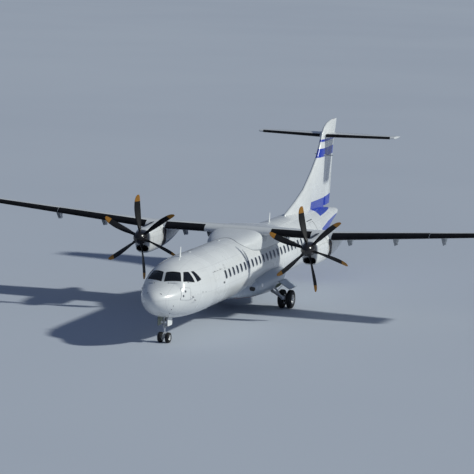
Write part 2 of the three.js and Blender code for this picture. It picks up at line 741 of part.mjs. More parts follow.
function makeBelly() {
  const belly = whole(BELLY, { sides: 24 }).subtract(wholeSkin).subtract(gearWells());
  add('belly_fairing', belly, 'belly');
}

function gearWells() {
  const { inner, outer, from, to, roof } = MAIN_WELL;
  return union(Object.values(SIDES).map((side) => sideBox(side, [inner, outer], [from, to], [0, roof])));
}

// Engine block with its reduction gear raised at the front, grown by a gap for its bay.
function engineBlock(side, grow) {
  const x = [ENGINE_X - ENGINE_HALF_WIDTH - grow, ENGINE_X + ENGINE_HALF_WIDTH + grow];
  const wider = ([low, high]) => [low - grow, high + grow];
  const front = sideBox(side, x, wider(GEARBOX.station), wider(GEARBOX.z));
  return front.add(sideBox(side, x, wider(TURBINE.station), wider(TURBINE.z)));
}

function makeEngine(sideName, side) {
  const centre = side * ENGINE_X;
  const wingCut = foilLoft([3300, CENTRE_HALF, CENTRE_HALF + 200].map((x) => wingAt(side * x)), GAP);
  const shaft = (front, rear, radius) => rod([centre, front, HUB_Z], [centre, rear, HUB_Z], radius, 16);
  const cowl = whole(COWL, { centre, sides: 24 })
    .subtract(wingCut)
    .subtract(engineBlock(side, GAP))
    .subtract(whole(INTAKE, { centre, sides: 16 }))
    .subtract(shaft(COWL_FRONT - 50, SHAFT.rear + 50, SHAFT.hole));
  add(`nacelle_${sideName}`, cowl, 'white');
  const engine = engineBlock(side, 0).add(shaft(SHAFT.front, SHAFT.rear, SHAFT.radius));
  add(`engine_${sideName}`, engine, 'engine');
}

// One blade, standing up from the hub at the origin, its chord turned by its pitch at each radius.
function bladeRings(angle) {
  const [c, s] = [Math.cos(angle), Math.sin(angle)];
  return BLADE.map(({ radius, chord, thick, pitch, sweep }) => {
    const turn = THREE.MathUtils.degToRad(pitch);
    const count = 8;
    const ring = [];
    for (let k = 0; k < count; k += 1) {
      const t = (2 * Math.PI * k) / count;
      const along = (chord / 2) * Math.cos(t) - sweep;
      const up = (thick / 2) * Math.sin(t);
      const sideways = along * Math.cos(turn) - up * Math.sin(turn);
      const forward = along * Math.sin(turn) + up * Math.cos(turn);
      ring.push([radius * s - sideways * c, -forward, radius * c + sideways * s]);
    }
    return ring;
  });
}

function makePropeller(sideName, side) {
  const place = point(side * ENGINE_X, PROP_STATION, HUB_Z);
  const phase = THREE.MathUtils.degToRad(PROP_PHASE[sideName]);
  const rearFace = SHAFT.front - PLAY - PROP_STATION;
  const barrel = (grow) => {
    const [wide, half, narrow] = [HUB.radius + grow, HUB.half + grow, HUB.tail + grow];
    const profile = [
      [0, -half], [wide, -half], [wide, half], [narrow, half], [narrow, rearFace], [0, rearFace],
    ];
    return solid(turned(profile, 'y', 12));
  };
  const bladeRoot = (angle, radius, reach) => {
    const geometry = new THREE.CylinderGeometry(radius, radius, reach - 100, 8);
    geometry.translate(0, (reach + 100) / 2, 0);
    geometry.rotateX(Math.PI / 2);
    geometry.rotateY(angle);
    return solid(geometry);
  };
  let propeller = barrel(0);
  const tailHole = [[0, 0], [HUB.tail + GAP, 0], [HUB.tail + GAP, 400], [0, 400]];
  let spinner = solid(turned(SPINNER, 'y', 20))
    .subtract(barrel(GAP))
    .subtract(solid(turned(tailHole, 'y', 12)));
  for (let k = 0; k < BLADES; k += 1) {
    const angle = phase + (2 * Math.PI * k) / BLADES;
    propeller = propeller.add(bladeRoot(angle, HUB.blade, 345)).add(loft(bladeRings(angle)));
    spinner = spinner.subtract(loft(bladeRings(angle)).add(bladeRoot(angle, HUB.blade + 22, 500)));
  }
  add(`propeller_${sideName}`, propeller, 'black', place);
  add(`spinner_${sideName}`, spinner, 'black', place);
}

function makeWheel(name, { radius, width, rim, bore }, place) {
  const w = width / 2;
  const side = rim + 0.5 * (radius - rim);
  const profile = [[rim + GAP, -0.8 * w], [side, -w], [0.93 * radius, -0.8 * w], [radius, -0.35 * w],
    [radius, 0.35 * w], [0.93 * radius, 0.8 * w], [side, w], [rim + GAP, 0.8 * w], [rim + GAP, -0.8 * w]];
  add(`tyre_${name}`, turned(profile, 'x', WHEEL_SIDES), 'tyre', place);
  const hole = bore + PLAY;
  const hub = hole + 0.25 * rim;
  const web = 0.5 * (rim + hole);
  const disc = [[hole, -0.9 * w], [hub, -0.9 * w], [web, -0.3 * w], [rim, -0.8 * w], [rim, 0.8 * w],
    [web, 0.3 * w], [hub, 0.9 * w], [hole, 0.9 * w], [hole, -0.9 * w]];
  add(`rim_${name}`, turned(disc, 'x', WHEEL_SIDES), 'rim', place);
}

function makeMainGear(sideName, side) {
  const { x, station, z, half } = MAIN_AXLE;
  const { ahead, kneeZ, kneeHalf, footX, footZ, damperX, damperZ } = MAIN_LEG;
  const s = station - ahead;
  const ceiling = MAIN_WELL.roof - GAP;
  const knee = [side * x, s, kneeZ];
  const leg = union([
    sideBox(side, [MAIN_WELL.inner + GAP, footX + 100], [s - 110, s + 110], [footZ - 120, ceiling]),
    sideBox(side, [damperX - 100, damperX + 100], [s - 80, s + 80], [damperZ - 40, ceiling]),
    rod([side * footX, s, footZ], knee, 85),
    rod([knee[0] - kneeHalf, s, kneeZ], [knee[0] + kneeHalf, s, kneeZ], 90),
    rod(knee, [side * x, station, z], 58),
    rod(knee, [side * damperX, s, damperZ], 52),
    rod([side * (x - half - AXLE_OUT), station, z], [side * (x + half + AXLE_OUT), station, z],
      MAIN_TYRE.bore, WHEEL_SIDES),
  ]);
  add(`main_leg_${sideName}`, leg, 'steel');
  for (const [name, across] of [['inner', x - half], ['outer', x + half]]) {
    makeWheel(`main_${sideName}_${name}`, MAIN_TYRE, point(side * across, station, z));
  }
  const ring = (place) => MAIN_DOOR.outline.map(([across, up]) => point(side * across, place, up));
  const door = loft([ring(MAIN_DOOR.from), ring(MAIN_DOOR.to)])
    .subtract(shell(BELLY, MAIN_DOOR.from - 500, MAIN_DOOR.to + 500, { grow: GAP, sides: 24 }));
  add(`gear_door_main_${sideName}`, door, 'belly');
}

function makeNoseGear() {
  const { station, z, half, out } = NOSE_AXLE;
  const { half: wellHalf, to, roof } = NOSE_WELL;
  const { collar, brace } = NOSE_LEG;
  const ceiling = roof - GAP;
  const leg = union([
    rod([0, station, collar], [0, station, ceiling], 70, 16),
    box([-150, 150], [station - 60, station + 60], [roof - 90, ceiling]),
    rod([0, station, brace], [0, to - 60, roof - 60], 32),
    box([-60, 60], [to - 110, to - 10], [roof - 120, ceiling]),
  ]);
  add('nose_leg', leg, 'steel');
  const fork = union([
    rod([0, station, z], [0, station, collar - GAP], 50, 16),
    rod([-half - out, station, z], [half + out, station, z], NOSE_TYRE.bore, WHEEL_SIDES),
    box([-25, 25], [station - 170, station - 30], [430, 455]),
    box([-25, 25], [station - 110, station - 20], [300, 325]),
    box([-20, 20], [station - 170, station - 110], [300, 455]),
  ]);
  add('nose_fork', fork, 'steel');
  for (const [sideName, side] of Object.entries(SIDES)) {
    makeWheel(`nose_${sideName}`, NOSE_TYRE, point(side * half, station, z));
    const across = [wellHalf - NOSE_DOOR.thick, wellHalf - GAP];
    const leaf = sideBox(side, across, [NOSE_DOOR.from, NOSE_DOOR.to], NOSE_DOOR.z);
    add(`gear_door_nose_${sideName}`, leaf, 'white');
  }
}

makeWings();
const { socket } = makeTail();
makeFuselage(socket);
makeBelly();
for (const [sideName, side] of Object.entries(SIDES)) {
  makeEngine(sideName, side);
  makePropeller(sideName, side);
  makeMainGear(sideName, side);
}
makeNoseGear();

export default root;
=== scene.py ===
"""Looks of the airliner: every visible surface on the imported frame. Lengths in metres, +X port, +Y aft, +Z up."""

import math

import bmesh
import bpy
import numpy as np
from mathutils import Matrix, Vector


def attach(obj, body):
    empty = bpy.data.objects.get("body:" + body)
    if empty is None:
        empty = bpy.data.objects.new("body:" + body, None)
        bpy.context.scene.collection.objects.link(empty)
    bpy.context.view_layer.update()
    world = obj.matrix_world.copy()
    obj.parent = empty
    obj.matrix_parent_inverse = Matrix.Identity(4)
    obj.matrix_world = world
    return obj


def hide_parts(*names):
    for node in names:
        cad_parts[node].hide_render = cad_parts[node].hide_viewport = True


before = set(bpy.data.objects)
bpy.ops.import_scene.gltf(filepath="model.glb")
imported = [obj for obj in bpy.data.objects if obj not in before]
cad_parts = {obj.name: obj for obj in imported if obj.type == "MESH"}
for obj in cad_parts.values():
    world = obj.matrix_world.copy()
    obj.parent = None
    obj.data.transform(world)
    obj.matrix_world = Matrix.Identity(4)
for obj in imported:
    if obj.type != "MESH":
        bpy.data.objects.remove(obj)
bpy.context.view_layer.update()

HALF = 13.583  # half the length: a station is y + HALF
SIDES = (("port", 1), ("starboard", -1))


class Tree:
    """Short names for a material's nodes."""

    def __init__(self, name):
        self.mat = bpy.data.materials.new(name)
        self.mat.use_nodes = True
        self.nodes = self.mat.node_tree.nodes
        self.links = self.mat.node_tree.links
        self.bsdf = self.nodes["Principled BSDF"]
        self.place = self.nodes.new("ShaderNodeTexCoord").outputs["Object"]
        split = self.nodes.new("ShaderNodeSeparateXYZ")
        self.links.new(self.place, split.inputs[0])
        self.x, self.y, self.z = split.outputs

    def put(self, socket, value):
        """Feeds a socket from another socket, a colour or a number."""
        if isinstance(value, bpy.types.NodeSocket):
            self.links.new(value, socket)
        else:
            socket.default_value = (*value, 1.0) if isinstance(value, tuple) else value

    def math(self, op, a, b=0.0):
        node = self.nodes.new("ShaderNodeMath")
        node.operation = op
        self.put(node.inputs[0], a)
        self.put(node.inputs[1], b)
        return node.outputs[0]

    def scaled(self, scale):
        node = self.nodes.new("ShaderNodeMapping")
        self.links.new(self.place, node.inputs["Vector"])
        node.inputs["Scale"].default_value = scale
        return node.outputs[0]

    def noise(self, scale, detail, place=None):
        node = self.nodes.new("ShaderNodeTexNoise")
        self.links.new(place or self.place, node.inputs["Vector"])
        for name, value in (("Scale", scale), ("Detail", detail), ("Roughness", 0.55)):
            node.inputs[name].default_value = value
        return node.outputs["Fac"]

    def ramp(self, value, low, high, to_low=0.0, to_high=1.0):
        node = self.nodes.new("ShaderNodeMapRange")
        node.interpolation_type = "SMOOTHSTEP"
        for name, v in (("Value", value), ("From Min", low), ("From Max", high), ("To Min", to_low),
                        ("To Max", to_high)):
            self.put(node.inputs[name], v)
        return node.outputs["Result"]

    def mix(self, factor, a, b):
        node = self.nodes.new("ShaderNodeMix")
        node.data_type = "RGBA"
        for k, value in ((0, factor), (6, a), (7, b)):
            self.put(node.inputs[k], value)
        return node.outputs[2]

    def near_line(self, away, width):
        return self.ramp(away, width * 0.5, width * 1.1, 1.0, 0.0)

    def lines(self, value, pitch, offset, width):
        """1 on lines of that width repeated along a coordinate."""
        turn = self.math("FRACT", self.math("DIVIDE", self.math("SUBTRACT", value, offset - pitch / 2), pitch))
        away = self.math("ABSOLUTE", self.math("SUBTRACT", turn, 0.5))
        return self.near_line(self.math("MULTIPLY", away, pitch), width)

    def line(self, value, at, width):
        return self.near_line(self.math("ABSOLUTE", self.math("SUBTRACT", value, at)), width)

    def most(self, values):
        out = values[0]
        for v in values[1:]:
            out = self.math("MAXIMUM", out, v)
        return out

    def bump(self, height, distance, strength=1.0):
        node = self.nodes.new("ShaderNodeBump")
        node.inputs["Strength"].default_value = strength
        node.inputs["Distance"].default_value = distance
        self.put(node.inputs["Height"], height)
        self.links.new(node.outputs[0], self.bsdf.inputs["Normal"])

    def finish(self, colour, rough, metal=0.0, coat=0.0):
        self.put(self.bsdf.inputs["Base Color"], colour)
        self.put(self.bsdf.inputs["Roughness"], rough)
        self.bsdf.inputs["Metallic"].default_value = metal
        if coat:
            self.bsdf.inputs["Coat Weight"].default_value = coat
            self.bsdf.inputs["Coat Roughness"].default_value = 0.12
        return self.mat


def plain(name, colour, rough, metal=0.0, vary=0.12, scale=6.0, grain=0.0004, coat=0.0, stretch=(1, 1, 1), shine=0.5):
    """A worn solid colour: broad stains, fine grain, and a roughness that follows them."""
    t = Tree(name)
    place = t.scaled(stretch)
    broad = t.noise(scale, 5.0, place)
    fine = t.noise(scale * 14, 3.0, place)
    dark = tuple(c * (1 - vary) for c in colour)
    light = tuple(min(c * (1 + vary), 1.0) for c in colour)
    tone = t.mix(t.ramp(broad, 0.3, 0.7), dark, light)
    tone = t.mix(t.ramp(fine, 0.45, 0.75, 0.0, 0.35), tone, dark)
    t.bump(fine, grain)
    t.bsdf.inputs["Specular IOR Level"].default_value = shine
    return t.finish(tone, t.ramp(broad, 0.25, 0.75, rough + 0.07, rough - 0.05), metal, coat)


LAP_SHADE = (0.22, 0.24, 0.27)
STREAK = (0.42, 0.43, 0.43)


def paint(name, colour, line_sets, zones=(), soil=None, gloss=0.24):
    """Aircraft paint with lapped panels, faint stains and streaks. line_sets gives (coordinate, pitch or None,
    offset, width) and zones gives (mask function, colour)."""
    t = Tree(name)
    broad = t.noise(0.55, 4.0)
    tone = t.mix(t.ramp(broad, 0.35, 0.65), colour, tuple(c * 0.955 for c in colour))
    for mask, zone in zones:
        tone = t.mix(mask(t), tone, zone)
    laps = []
    for axis, pitch, offset, width in line_sets:
        value = getattr(t, axis)
        laps.append(t.lines(value, pitch, offset, width) if pitch else t.line(value, offset, width))
    waves = t.math("MULTIPLY", t.noise(2.2, 3.0), 0.35)
    lapped = t.most(laps)
    tone = t.mix(t.math("MULTIPLY", lapped, 0.3), tone, LAP_SHADE)
    streak = t.noise(3.0, 5.0, t.scaled((1.0, 0.25, 3.5)))
    tone = t.mix(t.ramp(streak, 0.52, 0.8, 0.0, 0.16), tone, STREAK)
    if soil:
        tone = soil(t, tone)
    t.bump(t.math("SUBTRACT", waves, lapped), 0.003, 0.35)
    return t.finish(tone, t.ramp(broad, 0.3, 0.7, gloss + 0.08, gloss - 0.03), 0.0, 0.35)


def glass(name, colour, rough=0.05, alpha=1.0):
    t = Tree(name)
    wisp = t.noise(3.0, 2.0)
    tone = t.mix(t.ramp(wisp, 0.4, 0.7), colour, tuple(c * 1.5 for c in colour))
    t.bsdf.inputs["Specular IOR Level"].default_value = 0.6
    t.bsdf.inputs["Alpha"].default_value = alpha
    return t.finish(tone, t.ramp(wisp, 0.3, 0.7, rough, rough + 0.03), 0.0, 0.4)


def circle(count):
    """Angles evenly round a circle."""
    return np.linspace(0, 2 * math.pi, count, endpoint=False)


def axes_across(axis):
    """Two unit vectors square to an axis and to each other."""
    u = np.cross(axis, (0, 0, 1) if abs(axis[2]) < 0.9 else (1, 0, 0))
    u /= np.linalg.norm(u)
    return u, np.cross(axis, u)


class Part:
    """Closed shapes collected into one mesh, each face with a material number."""

    def __init__(self):
        self.v, self.f, self.m = [], [], []

    def add(self, verts, faces, m=0):
        base = len(self.v)
        self.v.extend(tuple(map(float, p)) for p in verts)
        self.f.extend(tuple(base + i for i in f) for f in faces)
        self.m.extend(m if isinstance(m, list) else [m] * len(faces))
        return self

    def grid(self, rings, m=0, closed=True, caps=True, ring_mat=None):
        """Rings of equal count joined in turn. ring_mat(i, k) gives a face's material, in place of m."""
        rings = np.asarray(rings, float)
        rows, count = rings.shape[:2]
        pick = ring_mat or (lambda i, k: m)
        faces, mats = [], []
        for i in range(rows - 1):
            for k in range(count if closed else count - 1):
                a, b = i * count + k, i * count + (k + 1) % count
                faces.append((a, b, b + count, a + count))
                mats.append(pick(i, k))
        if caps and closed:
            faces.append(tuple(range(count)))
            faces.append(tuple(reversed(range((rows - 1) * count, rows * count))))
            mats += [pick(0, 0), pick(rows - 2, 0)]
        return self.add(rings.reshape(-1, 3), faces, mats)

    def box(self, one, other, m=0):
        """A box between two opposite corners."""
        (x0, x1), (y0, y1), (z0, z1) = (sorted(pair) for pair in zip(one, other))
        v = [(x0, y0, z0), (x1, y0, z0), (x1, y1, z0), (x0, y1, z0), (x0, y0, z1), (x1, y0, z1), (x1, y1, z1),
             (x0, y1, z1)]
        f = [(0, 3, 2, 1), (4, 5, 6, 7), (0, 1, 5, 4), (1, 2, 6, 5), (2, 3, 7, 6), (3, 0, 4, 7)]
        return self.add(v, f, m)

    def slab(self, outline, x0, x1, m=0):
        """An outline of (station, z) points drawn out from x0 to x1."""
        return self.grid([[(x, s - HALF, z) for s, z in outline] for x in (x0, x1)], m)

    def lathe(self, profile, centre, axis, m=0, sides=32, closed=False):
        """A profile of (radius, along) turned about an axis through centre."""
        axis = np.array(axis, float) / np.linalg.norm(axis)
        u, w = axes_across(axis)
        a = circle(sides)[:, None]
        rim = np.cos(a) * u + np.sin(a) * w
        rings = [np.array(centre) + axis * h + rim * max(r, 1e-4) for r, h in profile]
        return self.grid(rings + rings[:1] if closed else rings, m, caps=not closed)

    def rod(self, a, b, radius, m=0, sides=20, end=None, round_ends=0.0):
        """A round bar from a to b, tapered to the radius end or with both edges rounded."""
        a, b = np.array(a, float), np.array(b, float)
        run = np.linalg.norm(b - a)
        end = radius if end is None else end
        r = round_ends
        profile = [(radius - r, 0), (radius, r), (end, run - r), (end - r, run)] if r else [(radius, 0), (end, run)]
        return self.lathe(profile, a, b - a, m, sides)

    def pin(self, centre, half, radius, m, sides, round_ends):
        """A round bar across the aircraft, half of it on each side of its centre."""
        reach = np.array((half, 0, 0))
        return self.rod(centre - reach, centre + reach, radius, m, sides, round_ends=round_ends)

    def stepped(self, a, b, rows, m, sides=28):
        """A round bar from a to b with rows of (share of its length, radius)."""
        a, b = np.array(a, float), np.array(b, float)
        run = np.linalg.norm(b - a)
        return self.lathe([(r, s * run) for s, r in rows], a, b - a, m, sides)

    def tube(self, path, radius, m=0, sides=10):
        """A round hose through points."""
        path = np.array(path, float)
        tangent = np.gradient(path, axis=0)
        tangent /= np.linalg.norm(tangent, axis=1)[:, None]
        up = np.array((0.0, 0.0, 1.0)) if abs(tangent[0][2]) < 0.9 else np.array((1.0, 0.0, 0.0))
        a = circle(sides)[:, None]
        rings = []
        for p, d in zip(path, tangent):
            up = up - d * (up @ d)
            up /= np.linalg.norm(up)
            rings.append(p + radius * (np.cos(a) * up + np.sin(a) * np.cross(d, up)))
        return self.grid(rings, m)

    def build(self, name, looks, body="airframe", replaces=(), slot=None, sharp=32, bevel=0.0, weld=True):
        """Makes the object. looks names the materials that its material numbers stand for."""
        data = bpy.data.meshes.new(name)
        data.from_pydata(self.v, [], self.f)
        for key in looks.split():
            data.materials.append(M[key])
        data.polygons.foreach_set("material_index", self.m)
        work = bmesh.new()
        work.from_mesh(data)
        if weld:
            bmesh.ops.remove_doubles(work, verts=work.verts, dist=1e-5)
        bmesh.ops.recalc_face_normals(work, faces=work.faces)
        work.to_mesh(data)
        work.free()
        obj = bpy.data.objects.new(name, data)
        bpy.context.scene.collection.objects.link(obj)
        smooth(obj, sharp)
        if bevel:
            edge = obj.modifiers.new("edge", "BEVEL")
            edge.width = bevel
            edge.segments = 2
            edge.limit_method = "ANGLE"
            edge.angle_limit = math.radians(40)
        if body:
            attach(obj, body)
        if replaces:
            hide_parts(*replaces)
        return obj


def smooth(obj, sharp=32):
    obj.data.shade_smooth()
    obj.data.set_sharp_from_angle(angle=math.radians(sharp))


def carve(obj, looks, cutters):
    """Cuts each closed Part out of obj, and leaves plain mesh behind."""
    made = []
    for k, part in enumerate(cutters):
        tool = part.build(f"cutter_{k}", looks, body=None, weld=False)
        made.append(tool)
        cut = obj.modifiers.new(f"cut{k}", "BOOLEAN")
        cut.operation = "DIFFERENCE"
        cut.solver = "EXACT"
        cut.object = tool
    bpy.context.view_layer.update()
    done = bpy.data.meshes.new_from_object(obj.evaluated_get(bpy.context.evaluated_depsgraph_get()))
    obj.modifiers.clear()
    old = obj.data
    obj.data = done
    bpy.data.meshes.remove(old)
    for tool in made:
        bpy.data.objects.remove(tool)
    smooth(obj)


def slopes(s, t):
    """Slopes at a table's rows for a curve through them that doesn't overshoot."""
    slope = np.diff(t, axis=0) / np.diff(s)[:, None]
    a, b = slope[:-1], slope[1:]
    with np.errstate(all="ignore"):
        middle = np.where(a * b <= 0, 0, 2 * a * b / (a + b))
    return np.vstack([slope[:1], middle, slope[-1:]])


def between(s, t, tangent, places):
    """Values at places on the curve through the rows t, which lie at s."""
    k = np.clip(np.searchsorted(s, places, side="right") - 1, 0, len(s) - 2)
    span = (s[k + 1] - s[k])[..., None]
    u = (places - s[k])[..., None] / span
    return (t[k] * (1 + 2 * u) * (1 - u) ** 2 + t[k + 1] * u * u * (3 - 2 * u)
            + tangent[k] * span * u * (1 - u) ** 2 + tangent[k + 1] * span * u * u * (u - 1))


class Sections:
    """Ovals along the length, as the part's source has them: half width, top, widest line, bottom and power,
    smooth between the rows."""

    def __init__(self, rows, centre=0.0):
        table = np.array(rows, float)
        table[:, :5] /= 1000
        self.s, self.t, self.centre = table[:, 0], table[:, 1:], centre
        self.tangent = slopes(self.s, self.t)

    def at(self, s):
        """half, top, wide, low and power at stations."""
        s = np.clip(np.asarray(s, float), self.s[0], self.s[-1])
        return np.moveaxis(between(self.s, self.t, self.tangent, s), -1, 0)

    def raw(self, s, a):
        s, a = np.broadcast_arrays(np.asarray(s, float), np.asarray(a, float))
        half, top, wide, low, power = self.at(s)
        c, n = np.cos(a), np.sin(a)
        x = half * np.sign(c) * np.abs(c) ** (2 / power)
        reach = np.where(n > 0, top - wide, wide - low)
        return np.stack([x + self.centre, s - HALF, wide + reach * np.sign(n) * np.abs(n) ** (2 / power)], -1)

    def point(self, s, a, off=0.0):
        """Points at stations and angles, moved out from the skin."""
        s, a = np.broadcast_arrays(np.asarray(s, float), np.asarray(a, float))
        base = self.raw(s, a)
        if off == 0:
            return base
        along = self.raw(s + 0.01, a) - self.raw(s - 0.01, a)
        around = self.raw(s, a + 0.01) - self.raw(s, a - 0.01)
        normal = np.cross(around, along)
        normal /= np.linalg.norm(normal, axis=-1, keepdims=True)
        middle = np.stack([np.full(base.shape[:-1], self.centre), base[..., 1], self.at(s)[2]], -1)
        flip = np.sign(np.sum(normal * (base - middle), -1, keepdims=True))
        return base + normal * flip * off

    def side(self, s, z, side, off=0.0):
        """Points at stations and heights on one side."""
        _, top, wide, low, power = self.at(s)
        z = np.asarray(z, float)
        share = np.where(z > wide, (z - wide) / (top - wide), (wide - z) / (wide - low)).clip(0, 1)
        a = np.sign(z - wide) * np.arcsin(share ** (power / 2))
        return self.point(s, a if side > 0 else math.pi - a, off)

    def near(self, points, off=0.0):
        """The skin beside free points, within each one's station."""
        x, y, z = np.moveaxis(np.asarray(points, float), -1, 0)
        half, top, wide, low, power = self.at(y + HALF)
        reach = np.where(z > wide, top - wide, wide - low)
        up = (np.abs(z - wide) / reach) ** (power / 2)
        out = (np.abs(x - self.centre) / half) ** (power / 2)
        a = np.arctan2(np.sign(z - wide) * up, np.sign(x - self.centre + 1e-9) * out)
        return self.point(y + HALF, a, off)

    def loft(self, places, sides=128, off=lambda s: 0.0):
        return [self.point(s, circle(sides), off(s)) for s in places]


# Rows of station, half width, top, height of the widest line and bottom, in mm, and the oval's power
SKIN = Sections([
    [0, 40, 2065, 2022, 1979, 2], [60, 186, 2202, 2024, 1830, 2], [200, 362, 2331, 2027, 1667, 2],
    [500, 597, 2460, 2037, 1463, 2.05], [900, 798, 2564, 2061, 1290, 2.1], [1330, 955, 2690, 2100, 1162, 2.1],
    [1620, 1040, 3070, 2130, 1096, 2.05], [2100, 1164, 3300, 2150, 1015, 2], [2700, 1278, 3425, 2125, 950, 2],
    [3400, 1372, 3493, 2095, 903, 2], [4300, 1432.5, 3517.5, 2085, 880, 2],
    [17300, 1432.5, 3517.5, 2085, 880, 2], [18500, 1412, 3515, 2090, 920, 2],
    [19500, 1355, 3509, 2135, 1040, 2], [20500, 1255, 3490, 2215, 1215, 2], [21500, 1115, 3455, 2315, 1425, 2],
    [22500, 950, 3405, 2430, 1655, 2], [23500, 770, 3335, 2545, 1895, 2], [24600, 570, 3230, 2645, 2145, 2],
    [25600, 400, 3115, 2710, 2325, 2], [26500, 240, 3000, 2745, 2485, 2], [27000, 140, 2915, 2770, 2625, 2],
    [27166, 60, 2865, 2795, 2725, 2],
])
BELLY = Sections([
    [8300, 820, 1465, 1165, 915, 2.2], [8800, 1100, 1655, 1215, 845, 2.3], [9500, 1380, 1815, 1275, 760, 2.4],
    [10300, 1590, 1895, 1345, 675, 2.5], [11200, 1750, 1935, 1415, 615, 2.5],
    [12200, 1830, 1945, 1455, 590, 2.5], [12800, 1800, 1940, 1455, 593, 2.5],
    [13400, 1680, 1925, 1425, 605, 2.5], [14200, 1420, 1895, 1375, 645, 2.4],
    [15000, 1140, 1775, 1295, 715, 2.3], [15600, 920, 1655, 1215, 785, 2.2],
    [16200, 700, 1495, 1155, 865, 2.2],
])
SADDLE = Sections([
    [9300, 820, 3455, 3065, 2815, 2.4], [10200, 1150, 3590, 3080, 2760, 3], [11000, 1290, 3730, 3090, 2740, 4],
    [11600, 1300, 3820, 3090, 2740, 5], [12200, 1300, 3830, 3090, 2740, 5], [12900, 1300, 3790, 3090, 2740, 5],
    [13700, 1290, 3690, 3080, 2740, 4], [14600, 1150, 3600, 3070, 2760, 3],
    [15600, 820, 3455, 3065, 2815, 2.4],
])
COWL_ROWS = [
    [9460, 375, 3665, 3250, 2590, 3], [9640, 420, 3705, 3250, 2555, 2.9], [10100, 460, 3740, 3245, 2550, 2.7],
    [10700, 485, 3775, 3240, 2565, 2.6], [11200, 490, 3830, 3245, 2600, 2.7],
    [11700, 490, 3870, 3265, 2655, 2.7], [12300, 470, 3850, 3285, 2750, 2.6],
    [13000, 415, 3740, 3300, 2895, 2.5], [13700, 325, 3600, 3315, 3050, 2.3],
    [14200, 200, 3490, 3330, 3180, 2.1], [14450, 70, 3410, 3350, 3280, 2],
]
INTAKE_ROWS = [[9410, 300, 2950, 2802, 2655, 2.6], [9710, 260, 2900, 2775, 2650, 2.6],
               [10160, 210, 2850, 2750, 2650, 2.6]]


def stations(low, high, step, extra=()):
    """Even places no further apart than step, and the extra ones between them."""
    inner = [s for s in extra if low + 0.005 < s < high - 0.005]
    return sorted(set(spread(low, high, step).round(5)) | set(inner))


def spread(low, high, step):
    return np.linspace(low, high, max(2, int(math.ceil((high - low) / step)) + 1))


def rounded(width, height, radius, corner=6):
    """A rectangle with round corners, about its middle."""
    out = []
    for cx, cy, start in ((1, 1, 0), (-1, 1, 90), (-1, -1, 180), (1, -1, 270)):
        for k in range(corner + 1):
            a = math.radians(start + 90 * k / corner)
            out.append((cx * (width / 2 - radius) + radius * math.cos(a),
                        cy * (height / 2 - radius) + radius * math.sin(a)))
    return np.array(out)


def pane(part, place, outline, off, deep, m, rings=3):
    """A curved plate: place(u, v, off) maps the flat outline onto a surface."""
    mid = outline.mean(0)
    scales = np.linspace(1, 0, rings + 1)[:-1]
    base = [place(*outline.T, off - deep), *(place(*(mid + (outline - mid) * k).T, off) for k in scales)]
    verts = np.vstack([*base, place(*mid[:, None], off)])
    count = len(outline)
    last = (len(base) - 1) * count
    faces = []
    for i in range(0, last, count):
        for k in range(count):
            n = (k + 1) % count
            faces.append((i + k, i + n, i + count + n, i + count + k))
    faces += [(last + k, last + (k + 1) % count, len(verts) - 1) for k in range(count)]
    faces.append(tuple(reversed(range(count))))
    part.add(verts, faces, m)


def rim(part, place, inner, outer, off, deep, m):
    """A raised ring between two outlines of equal count."""
    rings = [place(*outer.T, off - deep), place(*outer.T, off), place(*inner.T, off), place(*inner.T, off - deep)]
    part.grid([*rings, rings[0]], m, caps=False)


def on_side(sections, side):
    return lambda u, v, off: sections.side(u, v, side, off)


WHITE = (0.79, 0.80, 0.79)
PALE = (0.76, 0.775, 0.775)
BLUE = (0.020, 0.055, 0.46)
DIRT = (0.33, 0.34, 0.34)
PAINT_EDGE = 0.004  # half the width over which one colour turns into the next


def half_plane(t, a, b):
    """1 to the left of the line from a to b, in (y, z)."""
    (ay, az), (by, bz) = a, b
    n = math.hypot(by - ay, bz - az)
    along = t.math("MULTIPLY", t.math("SUBTRACT", t.z, az), (by - ay) / n)
    across = t.math("MULTIPLY", t.math("SUBTRACT", t.y, ay), (bz - az) / n)
    return t.ramp(t.math("SUBTRACT", along, across), -PAINT_EDGE, PAINT_EDGE)


def polygon(*corners):
    """A mask inside a convex outline of (station, z) corners, given anticlockwise as seen from starboard."""
    def mask(t):
        points = [(s - HALF, z) for s, z in corners]
        out = half_plane(t, points[0], points[1])
        for a, b in zip(points[1:], points[2:] + points[:1]):
            out = t.math("MULTIPLY", out, half_plane(t, a, b))
        return out
    return mask


def belly_soil(t, tone):
    """Oil and road dirt towards the bottom."""
    low = t.ramp(t.z, 0.70, 1.35, 1.0, 0.0)
    patch = t.ramp(t.noise(1.6, 6.0, t.scaled((1.0, 0.35, 1.0))), 0.35, 0.7)
    return t.mix(t.math("MULTIPLY", t.math("MULTIPLY", low, patch), 0.35), tone, DIRT)


